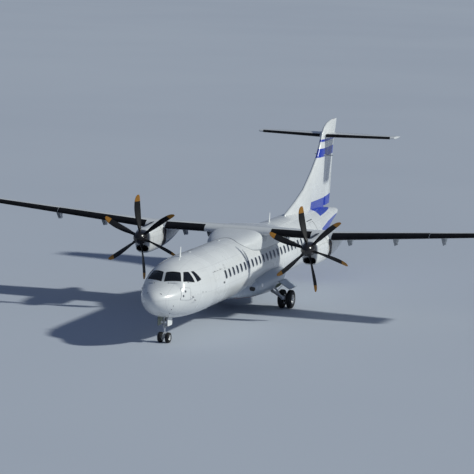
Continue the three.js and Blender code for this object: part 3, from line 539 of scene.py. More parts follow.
# Panel laps of the fuselage: (coordinate, pitch or None, offset, width)
FRAMES = [("y", 1.068, -7.723, 0.006), ("z", None, 1.30, 0.007), ("z", None, 2.06, 0.006), ("z", None, 3.04, 0.006),
          ("x", None, 0.52, 0.006), ("x", None, -0.52, 0.006)]
M = {
    "skin": paint("skin_paint", WHITE, FRAMES, soil=belly_soil),
    "tail": paint("tail_paint", WHITE, FRAMES, zones=[
        (polygon((21.89, 3.13), (25.39, 3.13), (24.79, 3.74), (22.05, 3.77)), BLUE),
        (polygon((20.3, 1.0), (27.2, 1.0), (27.2, 2.66), (25.7, 2.75), (23.0, 2.75), (21.0, 2.64)), BLUE),
    ], soil=belly_soil),
    "fairing": paint("fairing_paint", PALE, [("y", None, -0.3, 0.006), ("y", None, -2.4, 0.006)]),
    # belly fairing and gear doors: blue-grey, darker than their real light paint, so partly painted shade
    "belly": paint("belly_paint_with_painted_shade", (0.50, 0.56, 0.63), [("y", 1.3, 0.2, 0.006), ("x", 0.9, 0.45, 0.006)],
                   soil=belly_soil, gloss=0.3),
    "wing": paint("wing_paint", WHITE, [("x", 1.15, 0.4, 0.006), ("y", None, -1.15, 0.006)]),
    "surface": paint("surface_paint", PALE, [("x", 1.4, 0.2, 0.005)]),
    "rudder": paint("rudder_paint", PALE, [("z", 0.8, 0.35, 0.005)], zones=[
        (polygon((24.4, 3.2), (26.3, 3.2), (26.3, 3.85), (25.08, 3.79), (24.4, 3.76)), BLUE)]),
    "cowl": paint("cowl_paint", (0.80, 0.81, 0.80),
                  [("y", None, -3.28, 0.008), ("y", None, -2.32, 0.008), ("z", None, 3.3, 0.006)]),
    "blue": paint("blue_paint", BLUE, [("y", 1.2, 0.3, 0.004)]),
    "boot": plain("boot_rubber", (0.0085, 0.0087, 0.0105), 0.62, vary=0.3, scale=3.0, grain=0.0008, shine=0.16),
    "bare": plain("bare_metal", (0.60, 0.60, 0.59), 0.3, 1.0, vary=0.08, scale=5.0, stretch=(1, 6, 1)),
    "chrome": plain("oleo_chrome", (0.75, 0.76, 0.78), 0.12, 1.0, vary=0.04, scale=6.0),
    "steel": plain("gear_paint", (0.56, 0.58, 0.60), 0.38, 0.15, vary=0.14, scale=7.0, coat=0.2),
    "dark": plain("dark_metal", (0.055, 0.055, 0.06), 0.5, 0.7, vary=0.25, scale=9.0),
    "burnt": plain("burnt_metal", (0.20, 0.155, 0.115), 0.42, 0.9, vary=0.35, scale=5.0),
    "blade": plain("blade_paint", (0.012, 0.012, 0.013), 0.45, vary=0.25, scale=6.0, shine=0.3),
    "tip": plain("tip_paint", (0.46, 0.21, 0.035), 0.45, vary=0.15, scale=9.0, shine=0.3),
    "spinner": plain("spinner_paint", (0.012, 0.0095, 0.0095), 0.24, vary=0.3, scale=5.0, coat=0.3),
    "tyre": plain("tyre_rubber", (0.021, 0.021, 0.022), 0.82, vary=0.3, scale=11.0, grain=0.0012),
    "rim": plain("wheel_alloy", (0.62, 0.63, 0.64), 0.32, 0.75, vary=0.1, scale=12.0),
    # hose rubber, also the black inlet mouths' painted shade
    "hose": plain("hose_rubber_and_inlet_shade", (0.03, 0.03, 0.032), 0.6, vary=0.2, scale=15.0),
    "bay": plain("bay_primer", (0.42, 0.47, 0.38), 0.6, vary=0.15, scale=3.0),
    "inside": plain("cabin_lining", (0.55, 0.54, 0.50), 0.7, vary=0.06, scale=4.0),
    "cockpit": plain("cockpit_lining", (0.075, 0.08, 0.085), 0.75, vary=0.15, scale=6.0),
    "seat": plain("seat_cloth", (0.11, 0.12, 0.15), 0.9, vary=0.2, scale=20.0, grain=0.002),
    "seal": plain("window_seal", (0.05, 0.055, 0.06), 0.6, vary=0.2, scale=12.0),
    "frame": plain("window_frame", (0.70, 0.72, 0.73), 0.35, vary=0.06, scale=8.0),
    "glass": glass("cabin_glass", (0.020, 0.025, 0.035)),
    "screen": glass("screen_glass", (0.008, 0.010, 0.012), alpha=0.72),
    "red": glass("red_lens", (0.55, 0.012, 0.01), 0.12),
    "green": glass("green_lens", (0.01, 0.30, 0.06), 0.12),
    "lamp": glass("lamp_lens", (0.75, 0.77, 0.80), 0.06),
    "seam": plain("seam_primer", (0.26, 0.085, 0.07), 0.5, vary=0.2, scale=7.0),
    # dark blue patches on the nacelles: painted shade, and in part an exhaust shroud
    "shroud": plain("exhaust_shroud_and_painted_shade", (0.045, 0.055, 0.075), 0.5, 0.3, vary=0.3, scale=6.0),
    # sealant grey, also the flap fairings' painted shade
    "grey": plain("sealant_grey", (0.30, 0.32, 0.34), 0.55, vary=0.12, scale=9.0),
    "mark": plain("stencil_dark", (0.10, 0.11, 0.13), 0.5, vary=0.2, scale=12.0),
    "white": plain("white_trim", (0.80, 0.81, 0.80), 0.3, vary=0.05, scale=5.0, coat=0.3),
    "grip": plain("stair_grip", (0.14, 0.14, 0.13), 0.9, vary=0.2, scale=30.0, grain=0.003),
}

# Stations where the fuselage pieces part, and half the gap between two of them
JOINTS = [0, 0.9, 4.0, 8.4, 14.9, 20.4, 25.3, 27.166]
HALF_GAP = 0.00015
PIECES = ["radome", "cockpit_section", "forward_fuselage", "centre_fuselage", "aft_fuselage", "tail_section",
          "tail_cone"]
SPANS = {name: (low + HALF_GAP * (low > 0), high - HALF_GAP * (high < JOINTS[-1]))
         for name, low, high in zip(PIECES, JOINTS, JOINTS[1:])}
# Each door's opening by station and height, the leaf's gap at the rear, its window's height, the way up (1) or down
# (-1) that it lies from its hinge line, and both ends of that line
DOORS = {
    "cargo_door": {"s": (4.225, 5.5), "z": (1.25, 2.78), "rear_gap": 0.008, "window": None, "way": -1,
                   "hinge": ((1.26045, -9.358, 2.78), (1.26108, -8.083, 2.78))},
    "passenger_door": {"s": (19.2, 19.98), "z": (1.45, 3.11), "rear_gap": 0.048, "window": 2.55, "way": 1,
                       "hinge": ((1.12369, 5.617, 1.45), (0.97515, 6.397, 1.45))},
}
DOOR_BAY_X = (0.25, 3)
LEAF_THICK = 0.06
PIN = 0.008  # radius of the doors' hinge pins
WELL = {"x": (1.02, 2.4), "s": (11.79, 13.01), "z": (0, 1.2)}
DECK_Z = 1.90


def cut_box(x, s, z, m=1):
    return Part().box((x[0], s[0] - HALF, z[0]), (x[1], s[1] - HALF, z[1]), m)


def wells(m):
    """Boxes that cut both main wheel wells."""
    return [cut_box([side * x for x in WELL["x"]], WELL["s"], WELL["z"], m) for _, side in SIDES]


def skin_piece(name, looks, step=0.16):
    low, high = SPANS[name]
    part = Part().grid(SKIN.loft(stations(low, high, step, SKIN.s)))
    return part.build(name + "_skin", looks, replaces=[name])


# Each pane's corners: upper front, upper rear, lower rear, lower front, as (x, station, z)
PANES = {
    "windscreen": [(0.052, 1.633, 3.078), (0.610, 1.910, 3.068), (0.765, 1.560, 2.718), (0.052, 1.347, 2.700)],
    "front_side": [(0.680, 2.050, 3.078), (0.812, 2.330, 3.058), (1.125, 2.330, 2.605), (0.832, 1.620, 2.712)],
    "rear_side": [(0.862, 2.480, 3.050), (0.915, 2.690, 3.046), (1.215, 2.935, 2.660), (1.168, 2.520, 2.600)],
}


def pane_grid(corners, side):
    """A four-sided pane as (u, v) mapping through its corners."""
    a, b, c, d = (np.array((side * x, s - HALF, z)) for x, s, z in corners)

    def place(u, v, off):
        u, v = np.asarray(u)[..., None], np.asarray(v)[..., None]
        flat = (a * (1 - u) + b * u) * (1 - v) + (d * (1 - u) + c * u) * v
        return SKIN.near(flat, off)
    return place


def pane_outline(corners, inset):
    """The unit square pulled in by a distance and rounded, in the pane's own coordinates."""
    a, b, c, d = (np.array(p) for p in corners)
    wide = (np.linalg.norm(b - a) + np.linalg.norm(c - d)) / 2
    tall = (np.linalg.norm(d - a) + np.linalg.norm(c - b)) / 2
    flat = rounded(wide - 2 * inset, tall - 2 * inset, 0.045, 5)
    return flat / (wide, tall) + 0.5


def cockpit():
    """Nose section with its windows cut through to a small flight deck."""
    looks = "skin bay cockpit"
    section = skin_piece("cockpit_section", looks, 0.06)
    room = [SKIN.point(s, circle(64), -0.06) for s in stations(1.12, 3.2, 0.1)]
    room = [np.column_stack([r[:, 0], r[:, 1], np.maximum(r[:, 2], DECK_Z)]) for r in room]
    nose_well = cut_box((-0.23, 0.23), (1.35, 2.05), (0, 1.40))
    cuts = [nose_well, Part().grid(room, 2)]
    screens = Part()
    for _, side in SIDES:
        for corners in PANES.values():
            tool, place = Part(), pane_grid(corners, side)
            pane(tool, place, pane_outline(corners, 0.0), 0.05, 0.26, 2)
            cuts.append(tool)
            pane(screens, place, pane_outline(corners, 0.012), -0.010, 0.012, 0, rings=4)
            rim(screens, place, pane_outline(corners, 0.014), pane_outline(corners, -0.003), -0.004, 0.02, 1)
    carve(section, looks, cuts)
    screens.build("cockpit_windows", "screen seal")
    deck = Part()
    deck.box((-0.98, 1.95 - HALF, DECK_Z), (0.98, 3.18 - HALF, 1.93), 0)
    deck.slab([(1.50, 1.91), (1.50, 2.47), (1.58, 2.54), (1.86, 2.57), (1.93, 2.52), (1.84, 1.91)], -0.78, 0.78, 0)
    deck.box((-0.16, 1.9 - HALF, 1.93), (0.16, 2.55 - HALF, 2.29), 0)
    for k in range(6):
        x = -0.62 + 0.248 * k
        deck.slab([(1.926, 2.505), (1.865, 2.17), (1.870, 2.17), (1.931, 2.505)], x - 0.1, x + 0.1, 2)
    seat = [(2.35, 1.97), (2.35, 2.13), (2.42, 2.29), (2.80, 2.29), (2.90, 2.89), (3.00, 2.89), (2.96, 2.25),
            (2.90, 1.97)]
    head = [(2.90, 2.93), (2.885, 3.10), (2.95, 3.14), (3.01, 3.10), (3.0, 2.93)]
    for x in (-0.52, 0.52):
        deck.slab(seat, x - 0.24, x + 0.24, 1)
        deck.slab(head, x - 0.13, x + 0.13, 1)
        deck.rod((x, 2.02 - HALF, 2.02), (x, 2.12 - HALF, 2.35), 0.018, 0)
        deck.box((x - 0.13, 2.09 - HALF, 2.34), (x + 0.13, 2.13 - HALF, 2.38), 0)
    deck.build("flight_deck", "cockpit seat glass", bevel=0.012)


WINDOW_Z, WINDOW_PITCH, WINDOW_FIRST, WINDOWS = 2.502, 0.529, 5.685, 23


def cabin_windows():
    """Oval-cornered windows down both sides, with raised frames."""
    frame_line, pane_line = denser(rounded(0.30, 0.43, 0.10), rounded(0.235, 0.365, 0.085), 0.04)
    for name, side in SIDES:
        part = Part()
        place = on_side(SKIN, side)
        for k in range(WINDOWS):
            at = (WINDOW_FIRST + WINDOW_PITCH * k, WINDOW_Z)
            rim(part, place, pane_line + at, frame_line + at, 0.006, 0.012, 1)
            pane(part, place, pane_line * 1.02 + at, 0.003, 0.006, 0, rings=4)
        part.build(f"cabin_windows_{name}", "glass frame")


SEAL_OFF, SEAL_DEEP = 0.0012, 0.004


def outline_strip(part, sections, side, s, z, radius, width, m):
    """A thin seal line round a hatch or door."""
    w, h = s[1] - s[0], z[1] - z[0]
    mid = ((s[0] + s[1]) / 2, (z[0] + z[1]) / 2)
    outer = rounded(w, h, radius)
    inner = rounded(w - 2 * width, h - 2 * width, max(radius - width, 0.005))
    outer, inner = (line + mid for line in denser(outer, inner))
    rim(part, on_side(sections, side), inner, outer, SEAL_OFF, SEAL_DEEP, m)


def denser(outer, inner, longest=0.12):
    """Two matching outlines with their long sides divided alike."""
    out = ([], [])
    for k in range(len(outer)):
        after = (k + 1) % len(outer)
        count = max(1, int(math.ceil(np.linalg.norm(outer[after] - outer[k]) / longest)))
        for made, line in zip(out, (outer, inner)):
            made += [line[k] + (line[after] - line[k]) * j / count for j in range(count)]
    return np.array(out[0]), np.array(out[1])


def knuckles(part, door, half, m):
    """Pins and plates at two places of a door's hinge line. half is 1 for the leaf's and -1 for the fuselage's."""
    line = np.array(door["hinge"])
    step = (line[1] - line[0]) / np.linalg.norm(line[1] - line[0])
    for share in (0.2, 0.8):
        p = line[0] + (line[1] - line[0]) * share
        ends = (p, p + step * 0.07) if half > 0 else (p - step * 0.07, p - step * 0.0005)
        part.rod(*ends, PIN, m, 14)
        part.box((p[0] - 0.045, p[1] + half * 0.005, p[2]),
                 (p[0] + 0.001, p[1] + half * 0.065, p[2] + half * door["way"] * 0.034), m)


def door_leaf(name, door):
    """A curved door leaf with its handle and hinge pins, and with either a window and steps or inner ribs."""
    clear = 0.008
    low, high = door["z"][0] + clear, door["z"][1] - clear
    a, b = door["s"][0] + clear, door["s"][1] - door["rear_gap"]
    place = on_side(SKIN, 1)
    part = Part()
    zs, ss = np.linspace(low, high, 25), np.linspace(a, b, 9)
    outer, inner = (np.array([place(ss, z, off) for z in zs]) for off in (0.0, -LEAF_THICK))
    part.grid(outer, 0, closed=False)
    part.grid(inner, 1, closed=False)
    for edge in (np.s_[:, 0], np.s_[:, -1], np.s_[0], np.s_[-1]):
        part.grid([outer[edge], inner[edge]], 0, closed=False)
    if door["window"]:
        mid = (a + b) / 2
        at = (mid, door["window"])
        rim(part, place, rounded(0.20, 0.26, 0.099) + at, rounded(0.27, 0.33, 0.13) + at, 0.006, 0.012, 4)
        pane(part, place, rounded(0.205, 0.265, 0.1) + at, 0.0015, 0.004, 3, rings=4)
        for k in range(5):
            z = low + 0.18 + 0.29 * k
            x = SKIN.side(mid, z, 1)[0] - LEAF_THICK
            part.box((x - 0.17, a + 0.10 - HALF, z - 0.02), (x + 0.01, b - 0.10 - HALF, z + 0.02), 5)
        for s in (a + 0.07, b - 0.07):
            part.tube([place(s, z, -0.09) for z in np.linspace(low + 0.08, low + 1.45, 14)], 0.014, 6)
    else:
        for k in range(4):
            s = a + 0.16 + (b - a - 0.32) * k / 3
            corners = ((-0.02, -0.055), (-0.02, -0.09), (0.02, -0.09), (0.02, -0.055), (-0.02, -0.055))
            rib = [[place(s + w, z, o) for z in np.linspace(low + 0.06, high - 0.06, 16)] for w, o in corners]
            part.grid(rib, 1, closed=False)
    handle_z = low + 0.62 * (high - low)
    pane(part, place, rounded(0.20, 0.085, 0.03) + (b - 0.17, handle_z), 0.0015, 0.004, 2, rings=2)
    part.rod(place(b - 0.24, handle_z, 0.004), place(b - 0.11, handle_z, 0.004), 0.008, 6)
    knuckles(part, door, 1, 6)
    part.build(name + "_leaf", "skin inside seal glass frame grip bare", body=name, replaces=[name])


def fuselage():
    skin_piece("radome", "skin", 0.05)
    for name in ("tail_section", "tail_cone"):
        skin_piece(name, "tail", 0.2)
    cockpit()
    looks = "skin inside bay"
    cargo, cabin = DOORS["cargo_door"], DOORS["passenger_door"]
    for name, step, cuts in (("forward_fuselage", 0.16, [cut_box(DOOR_BAY_X, cargo["s"], cargo["z"])]),
                             ("centre_fuselage", 0.25, wells(2)),
                             ("aft_fuselage", 0.16, [cut_box(DOOR_BAY_X, cabin["s"], cabin["z"])])):
        carve(skin_piece(name, looks, step), looks, cuts)
    for name, door in DOORS.items():
        door_leaf(name, door)
        lugs = Part()
        knuckles(lugs, door, -1, 0)
        lugs.build(name + "_hinge_lugs", "bare")
    cabin_windows()
    lines = Part()
    for side, s, z, radius, width in (
            (-1, (19.22, 19.92), (1.5, 2.98), 0.09, 0.012), (-1, (4.62, 5.16), (1.84, 2.81), 0.09, 0.012),
            (1, (15.98, 16.50), (1.84, 2.81), 0.09, 0.010), (-1, (15.98, 16.50), (1.84, 2.81), 0.09, 0.010),
            (-1, (6.6, 7.9), (1.25, 2.05), 0.07, 0.012)):
        outline_strip(lines, SKIN, side, s, z, radius, width, 0)
    port_cap = (5.80, 2.825)
    rim(lines, on_side(SKIN, 1), rounded(0.14, 0.14, 0.069) + port_cap, rounded(0.17, 0.17, 0.084) + port_cap,
        SEAL_OFF, SEAL_DEEP, 0)
    lines.build("hatch_lines", "seal")


def fairings():
    looks = "belly bay"
    belly = Part().grid(BELLY.loft(stations(8.3, 16.2, 0.15, BELLY.s), 128))
    carve(belly.build("belly_fairing_shell", looks, replaces=["belly_fairing"]), looks, wells(1))
    saddle = Part().grid(SADDLE.loft(stations(9.3, 15.6, 0.15, SADDLE.s), 96))
    saddle.build("wing_fairing_shell", "fairing", replaces=["wing_fairing"])


fuselage()
fairings()

CENTRE_HALF, WING_HALF, WING_TIP = 4.55, 13.525, 13.395
TAIL_HALF, TAIL_TIP = 3.655, 3.595
DIHEDRAL = math.tan(math.radians(4.1))
CAMBER_AT = 0.15  # share of the chord where the camber is greatest
SLOT = 0.008  # air round a moving surface


def wing_at(x):
    """The wing's section at x."""
    out = max(abs(x) - CENTRE_HALF, 0)
    share = out / (WING_HALF - CENTRE_HALF)
    return {"x": x, "s": 11.08 + 0.42 * share, "z": 3.635 + out * DIHEDRAL, "chord": 2.57 - 0.98 * share,
            "thick": 0.17 - 0.044 * share, "camber": 0.03, "tilt": math.radians(3.5)}


def tail_at(x):
    """The tailplane's section at x."""
    share = abs(x) / TAIL_HALF
    return {"x": x, "s": 24.345 + 0.6 * share, "z": 6.93, "chord": 2.0 - 0.8 * share, "thick": 0.12, "camber": 0.0,
            "tilt": 0.0}


def half_thickness(thick, q):
    """Half a four-digit section's thickness at shares of the chord, as a share of the chord."""
    return 5 * thick * (0.2969 * np.sqrt(q) - 0.126 * q - 0.3516 * q**2 + 0.2843 * q**3 - 0.1015 * q**4)


def foil(at, share, upper, off=0.0):
    """A point on the section, moved out from its surface."""
    sign = 1 if upper else -1
    share = np.clip(np.asarray(share, float), 0, 1)

    def height(q):
        middle = np.where(q < CAMBER_AT, q / CAMBER_AT * (2 - q / CAMBER_AT), (1 - q) / (1 - CAMBER_AT))
        return at["camber"] * middle + sign * half_thickness(at["thick"], q)
    a, u = share * at["chord"], height(share) * at["chord"]
    if off != 0:
        lo, hi = np.clip(share - 0.002, 0, 1), np.clip(share + 0.002, 0, 1)
        da, du = (hi - lo) * at["chord"], (height(hi) - height(lo)) * at["chord"]
        n = np.hypot(da, du)
        a, u = a - sign * du / n * off, u + sign * da / n * off
    return put_at(at, a, u)


def put_at(at, aft, up):
    """A point given aft and up from the leading edge, along the section's own chord."""
    c, s = math.cos(at["tilt"]), math.sin(at["tilt"])
    return np.stack([np.full(np.shape(aft), at["x"]), at["s"] + aft * c + up * s - HALF, at["z"] - aft * s + up * c],
                    -1)


def shares(high, count):
    """Shares of the chord from 0 to high, closest at the nose."""
    return high * (1 - np.cos(np.linspace(0, math.pi / 2, count)))


def foil_ring(at, high=1.0, off=0.0, count=26):
    """Upper surface from high forward to the nose, then back below."""
    q = shares(high, count)
    return np.vstack([foil(at, q[::-1], True, off), foil(at, q[1:], False, off)])


def hinge(at, cut):
    """Axis and radius of the round nose of a surface hinged at a share of the chord, as aft, up and radius."""
    high, low = (foil(dict(at, tilt=0.0), cut, upper)[2] - at["z"] for upper in (True, False))
    return cut * at["chord"], (high + low) / 2, (high - low) / 2


def fixed_skin(part, section, side, low, high, cut, step):
    """The skin between two places along the span, which ends ahead of a surface hinged at cut."""
    rings = []
    for x in spread(low, high, step):
        at = section(side * x)
        aft, _, radius = hinge(at, cut) if cut else (0, 0, 0)
        rings.append(foil_ring(at, (aft - radius - SLOT) / at["chord"] if cut else 1.0))
    part.grid(rings, 0)


def rounded_tip(part, section, side, start, out, back, narrow, count, rise=0.0):
    """The end of a wing or tailplane: out is its length, back and narrow are what its nose and chord lose."""
    rings = []
    for a in np.linspace(0, math.pi / 2, count):
        reach, turn = out * math.sin(a), 1 - math.cos(a)
        at = section(side * start)
        at.update(x=side * (start + reach), z=at["z"] + reach * rise, s=at["s"] + back * turn,
                  chord=at["chord"] - narrow * turn, thick=at["thick"] * max(math.cos(a), 0.12))
        rings.append(foil_ring(at))
    part.grid(rings, 0)


def leaf(part, section, side, low, high, cut, step):
    """A hinged surface: round nose, then both skins to the trailing edge."""
    rings = []
    for x in spread(low, high, step):
        at = section(side * x)
        aft, mid, radius = hinge(at, cut)
        q = np.linspace(1, cut, 10)[:-1]
        nose = [put_at(at, aft + radius * math.cos(a), mid + radius * math.sin(a))
                for a in np.linspace(math.pi / 2, 1.5 * math.pi, 12)]
        rings.append(np.vstack([foil(at, q, True), nose, foil(at, q[::-1], False)]))
    part.grid(rings, 0)


def end_pins(part, section, side, low, high, cut, m):
    """A hinge pin in each end of a control surface."""
    ends = [put_at(section(side * x), *hinge(section(side * x), cut)[:2]) for x in (low, high)]
    run = (ends[1] - ends[0]) / (high - low)
    for a, b in ((0.0009, 0.06), (high - low - 0.06, high - low - 0.0009)):
        part.rod(ends[0] + run * a, ends[0] + run * b, 0.012, m, 12)


def wicks(part, section, side, places, reach, m):
    """Static wicks behind the trailing edge."""
    for x in places:
        base = foil(section(side * x), 0.995, True)
        part.rod(base, base + reach, 0.004, m, 6)


def raised_strip(part, side, low, high, step, share, upper, off, m):
    """A thin strip on the wing between two shares of the chord."""
    corners = ((share[0], off), (share[1], off), (share[1], -0.003), (share[0], -0.003))
    part.grid([[foil(wing_at(side * x), q, upper, o) for q, o in corners] for x in spread(low, high, step)], m)


# Each hinged surface of one wing: name, inner and outer end, share of the chord at its hinge, gap at its outer end,
# and where its brackets stand
SURFACES = [("flap_inboard", 1.4, 3.59, 0.7, 0.008, (1.9, 3.1)),
            ("flap_outboard", 4.6, 9.85, 0.7, 0.026, (5.0, 7.2, 9.5)),
            ("aileron", 9.95, 13.2, 0.72, 0.008, ())]
PIVOT_DROP = 0.43  # from the hinge line's middle down to the point that a flap turns about


def flap_pivot(side, x, cut):
    at = wing_at(side * x)
    aft, mid, _ = hinge(at, cut)
    return put_at(at, aft, mid - PIVOT_DROP)


def boot(part, section, side, low, high, wrap):
    """Black rubber de-icer wrapped round a leading edge, as far aft as wrap on each face."""
    rings = []
    for x in spread(low, high, 0.5):
        at = section(side * x)
        outer, inner = (foil_ring(at, wrap / at["chord"], off, 16) for off in (0.0035, -0.004))
        outer[0], outer[-1] = inner[0] * 0.5 + outer[0] * 0.5, inner[-1] * 0.5 + outer[-1] * 0.5
        rings.append(np.vstack([outer, inner[::-1]]))
    part.grid(rings, 1)


def wing_panel(name, side):
    """Outer wing with its slots, boots, tip, lamp, wicks and service panels."""
    part = Part()
    for low, high, cut in ((CENTRE_HALF + 0.0003, 4.6, None), (4.6, 9.85, 0.7), (9.85, 9.95, None), (9.95, 13.2, 0.72),
                           (13.2, WING_TIP, None)):
        fixed_skin(part, wing_at, side, low, high, cut, 0.5)
    rounded_tip(part, wing_at, side, WING_TIP, 0.13, 0.13, 0.33, 9, DIHEDRAL)
    boot(part, wing_at, side, 4.56, 9.1, 0.25)
    boot(part, wing_at, side, 9.115, 13.3, 0.22)
    lamp = put_at(wing_at(side * 13.44), 0.05, 0.0) + (side * 0.035, 0, 0)
    part.lathe([(0.001, -0.10), (0.028, -0.07), (0.04, 0.0), (0.035, 0.07), (0.001, 0.11)], lamp, (0, 1, 0), 2, 16)
    wicks(part, wing_at, side, (10.4, 11.2, 12.0, 12.8, 13.3), (0, 0.16, 0.01), 3)

    def below(u, v, off):
        """u runs out from the middle of the aircraft, v is a share of the chord at the service panel."""
        return np.stack([foil(dict(at, x=side * a), b, False, off) for a, b in zip(np.atleast_1d(u), np.atleast_1d(v))])
    for x in (5.6, 8.3):
        at = wing_at(side * x)
        pane(part, below, rounded(0.36, 0.09, 0.04) + (x, 0.42), 0.0012, 0.003, 3, rings=2)
    for upper in (True, False):
        raised_strip(part, side, 4.62, 9.83, 0.6, (0.60, 0.664), upper, 0.001, 0)
    part.build(f"wing_panel_{name}", f"wing boot {'red' if side > 0 else 'green'} grey", replaces=[f"wing_{name}"])


def wing_centre():
    part = Part()
    for low, high, cut in ((-4.55, -3.59, None), (-3.59, -1.4, 0.7), (-1.4, 1.4, None), (1.4, 3.59, 0.7),
                           (3.59, 4.55, None)):
        fixed_skin(part, wing_at, 1, low, high, cut, 0.6)
    for _, side in SIDES:
        boot(part, wing_at, side, 1.62, 3.56, 0.25)
    part.build("wing_centre_panel", "wing boot", replaces=["wing_centre"])


def surfaces():
    """Flaps and ailerons with their arms, tabs and hinge pins."""
    for name, side in SIDES:
        for kind, low, high, cut, gap, brackets in SURFACES:
            part = Part()
            leaf(part, wing_at, side, low + SLOT, high - gap, cut, 0.6)
            for x in brackets:
                pivot = flap_pivot(side, x, cut)
                x, s, z = pivot + (0, HALF, 0)
                arm = [(s - 0.04, z + 0.01), (s - 0.02, z - 0.04), (s + 0.06, z - 0.03), (s + 0.42, z + 0.39),
                       (s + 0.06, z + 0.39)]
                part.slab(arm, x + side * 0.01, x + side * 0.05, 1)
                part.rod(pivot + (side * 0.008, 0, 0), pivot + (side * 0.058, 0, 0), 0.03, 2, 20)
                # the rear half of the fairing, which droops with the flap
                rows = ((0.115, 0.30, 0.10, 0.045), (0.25, 0.36, 0.20, 0.04), (0.42, 0.42, 0.31, 0.03),
                        (0.60, 0.445, 0.395, 0.015))
                part.grid([[(x + side * 0.03 + half * math.cos(a), pivot[1] + aft,
                             z + (top + bottom) / 2 + (top - bottom) / 2 * math.sin(a)) for a in circle(16)]
                           for aft, top, bottom, half in rows], 1)
            if kind == "aileron":
                end_pins(part, wing_at, side, low, high, cut, 2)
                raised_strip(part, side, 10.2, 12.2, 0.5, (0.90, 0.902), True, 0.0015, 3)
            part.build(f"{kind}_{name}_leaf", "surface fairing steel seal", body=f"{kind}_{name}",
                       replaces=[f"{kind}_{name}"])


def flap_fairings():
    """The fixed half of each flap-hinge fairing: a wedge under the wing, painted dark grey as shade of the wing's
    underside, with the arm and lug that hold its pin.
    """
    oval = [(math.cos(a), 0.5 + 0.5 * math.sin(a)) for a in circle(20)]
    for name, side in SIDES:
        part = Part()
        for x, cut in ((x, row[3]) for row in SURFACES for x in row[5]):
            pivot = flap_pivot(side, x, cut)
            top = foil(wing_at(side * x), 0.45, False)[2] + 0.04
            x, s, z = pivot + (0, HALF, 0)
            wedge = []
            for ds, wide, deep in ((-0.62, 0.03, 0.06), (-0.52, 0.055, 0.18), (-0.42, 0.07, 0.30), (-0.30, 0.075, 0.42),
                                   (-0.20, 0.07, top - z + 0.03), (-0.12, 0.06, top - z + 0.05)):
                floor = max(top - deep, z - 0.055)
                wedge.append([(x + wide * (0.25 + 0.75 * v) * c, pivot[1] + ds, floor + (top - floor) * v)
                              for c, v in oval])
            part.grid(wedge, 0)
            part.grid([[(x - side * 0.03 + 0.024 * c, pivot[1] + ds, z - 0.045 + tall * v) for c, v in oval]
                       for ds, tall in ((0.0, 0.235), (0.045, 0.095))], 0)
            arm = [(s - 0.3, z + 0.25), (s - 0.12, z - 0.05), (s + 0.02, z - 0.045), (s + 0.045, z + 0.02),
                   (s - 0.1, z + 0.19)]
            part.slab(arm, x - side * 0.05, x - side * 0.01, 1)
            part.rod(pivot - (side * 0.02, 0, 0), pivot + (side * 0.009, 0, 0), 0.014, 1, 16)
        part.build(f"flap_fairings_{name}", "grey steel")


# The fin by level: z, leading edge's and trailing edge's station, thickness
FIN = np.array([
    [3050, 17820, 25785, 400], [3560, 18270, 25850, 400], [4050, 19975, 25918, 390], [4490, 21212, 25972, 370],
    [5250, 22480, 26067, 340], [5950, 23428, 26176, 310], [6500, 23855, 26272, 290], [6900, 24120, 26440, 270],
    [7100, 24255, 26590, 260], [7350, 24545, 26675, 230], [7540, 25010, 26740, 180], [7650, 25700, 26740, 80],
], float) / 1000

RUDDER_FOOT, RUDDER_HEAD = 3.32, 6.672
FIN_SPLIT = 6.68  # the fin is whole above this level
BANDS = [(5.88, 6.31), (6.635, 6.755)]  # blue, by level
BAND_EDGES = [z for band in BANDS for z in band]


def fin_row(z):
    return dict(zip(("lead", "trail", "thick"), (np.interp(z, FIN[:, 0], FIN[:, k]) for k in (1, 2, 3))))


def rudder_nose(z):
    """Station of the rudder's axis at a level, and the radius of its nose there."""
    share = (z - RUDDER_FOOT) / 3.36
    return 24.75 + 0.462 * share, 0.115 - 0.033 * share


def fin_ring(z, cut=True):
    """A level section of the fin, which ends ahead of the rudder where cut is set."""
    row, (axis, radius) = fin_row(z), rudder_nose(z)
    chord = row["trail"] - row["lead"]
    q = shares((axis - radius - SLOT - row["lead"]) / chord if cut else 1.0, 28)
    half = half_thickness(row["thick"] / chord, q) * chord
    right = np.stack([half, row["lead"] + q * chord - HALF, np.full_like(q, z)], -1)
    left = right * (-1, 1, 1)
    return np.vstack([right[::-1], left[1:]])


def rudder_ring(z):
    (axis, radius), trail = rudder_nose(z), fin_row(z)["trail"] - HALF
    nose = [(radius * math.cos(a), axis - radius * math.sin(a) - HALF, z) for a in math.pi * np.arange(13) / 12]
    return [(0.008, trail, z), *nose, (-0.008, trail, z)]


def banded(part, ring, low, high, count, marks):
    """Level rings from low to high, and at the marks between them, blue inside the bands."""
    levels = sorted(set(np.round([*np.linspace(low, high, count), *(z for z in marks if low < z < high)], 4)))

    def colour(i, _):
        return int(any(bottom < (levels[i] + levels[i + 1]) / 2 < top for bottom, top in BANDS))
    part.grid([ring(z) for z in levels], ring_mat=colour)


def fin():
    part = Part()
    banded(part, fin_ring, 3.05, FIN_SPLIT, 46, [*FIN[:, 0], *BAND_EDGES])
    banded(part, lambda z: fin_ring(z, cut=False), FIN_SPLIT, 7.65, 30, BAND_EDGES)
    # swept aerial rods beside the lower band
    for side, s, z in ((1, 24.891, 5.895), (-1, 24.70, 5.945)):
        root, tip = np.array((side * 0.12, 24.14 - HALF, 5.965)), np.array((side * 0.45, s - HALF, z))
        part.lathe([(0.034, 0), (0.030, 0.10), (0.024, 0.45), (0.018, 0.76), (0.006, 0.78)], root, tip - root, 4, 14)
    lamp = [(0.001, 0), (0.05, 0.005), (0.055, 0.04), (0.04, 0.075), (0.001, 0.09)]
    part.lathe(lamp, (0, 26.1 - HALF, 7.57), (0, 0, 1), 3, 20)
    part.build("fin_skin", "tail blue steel red grey", replaces=["fin"], sharp=40)


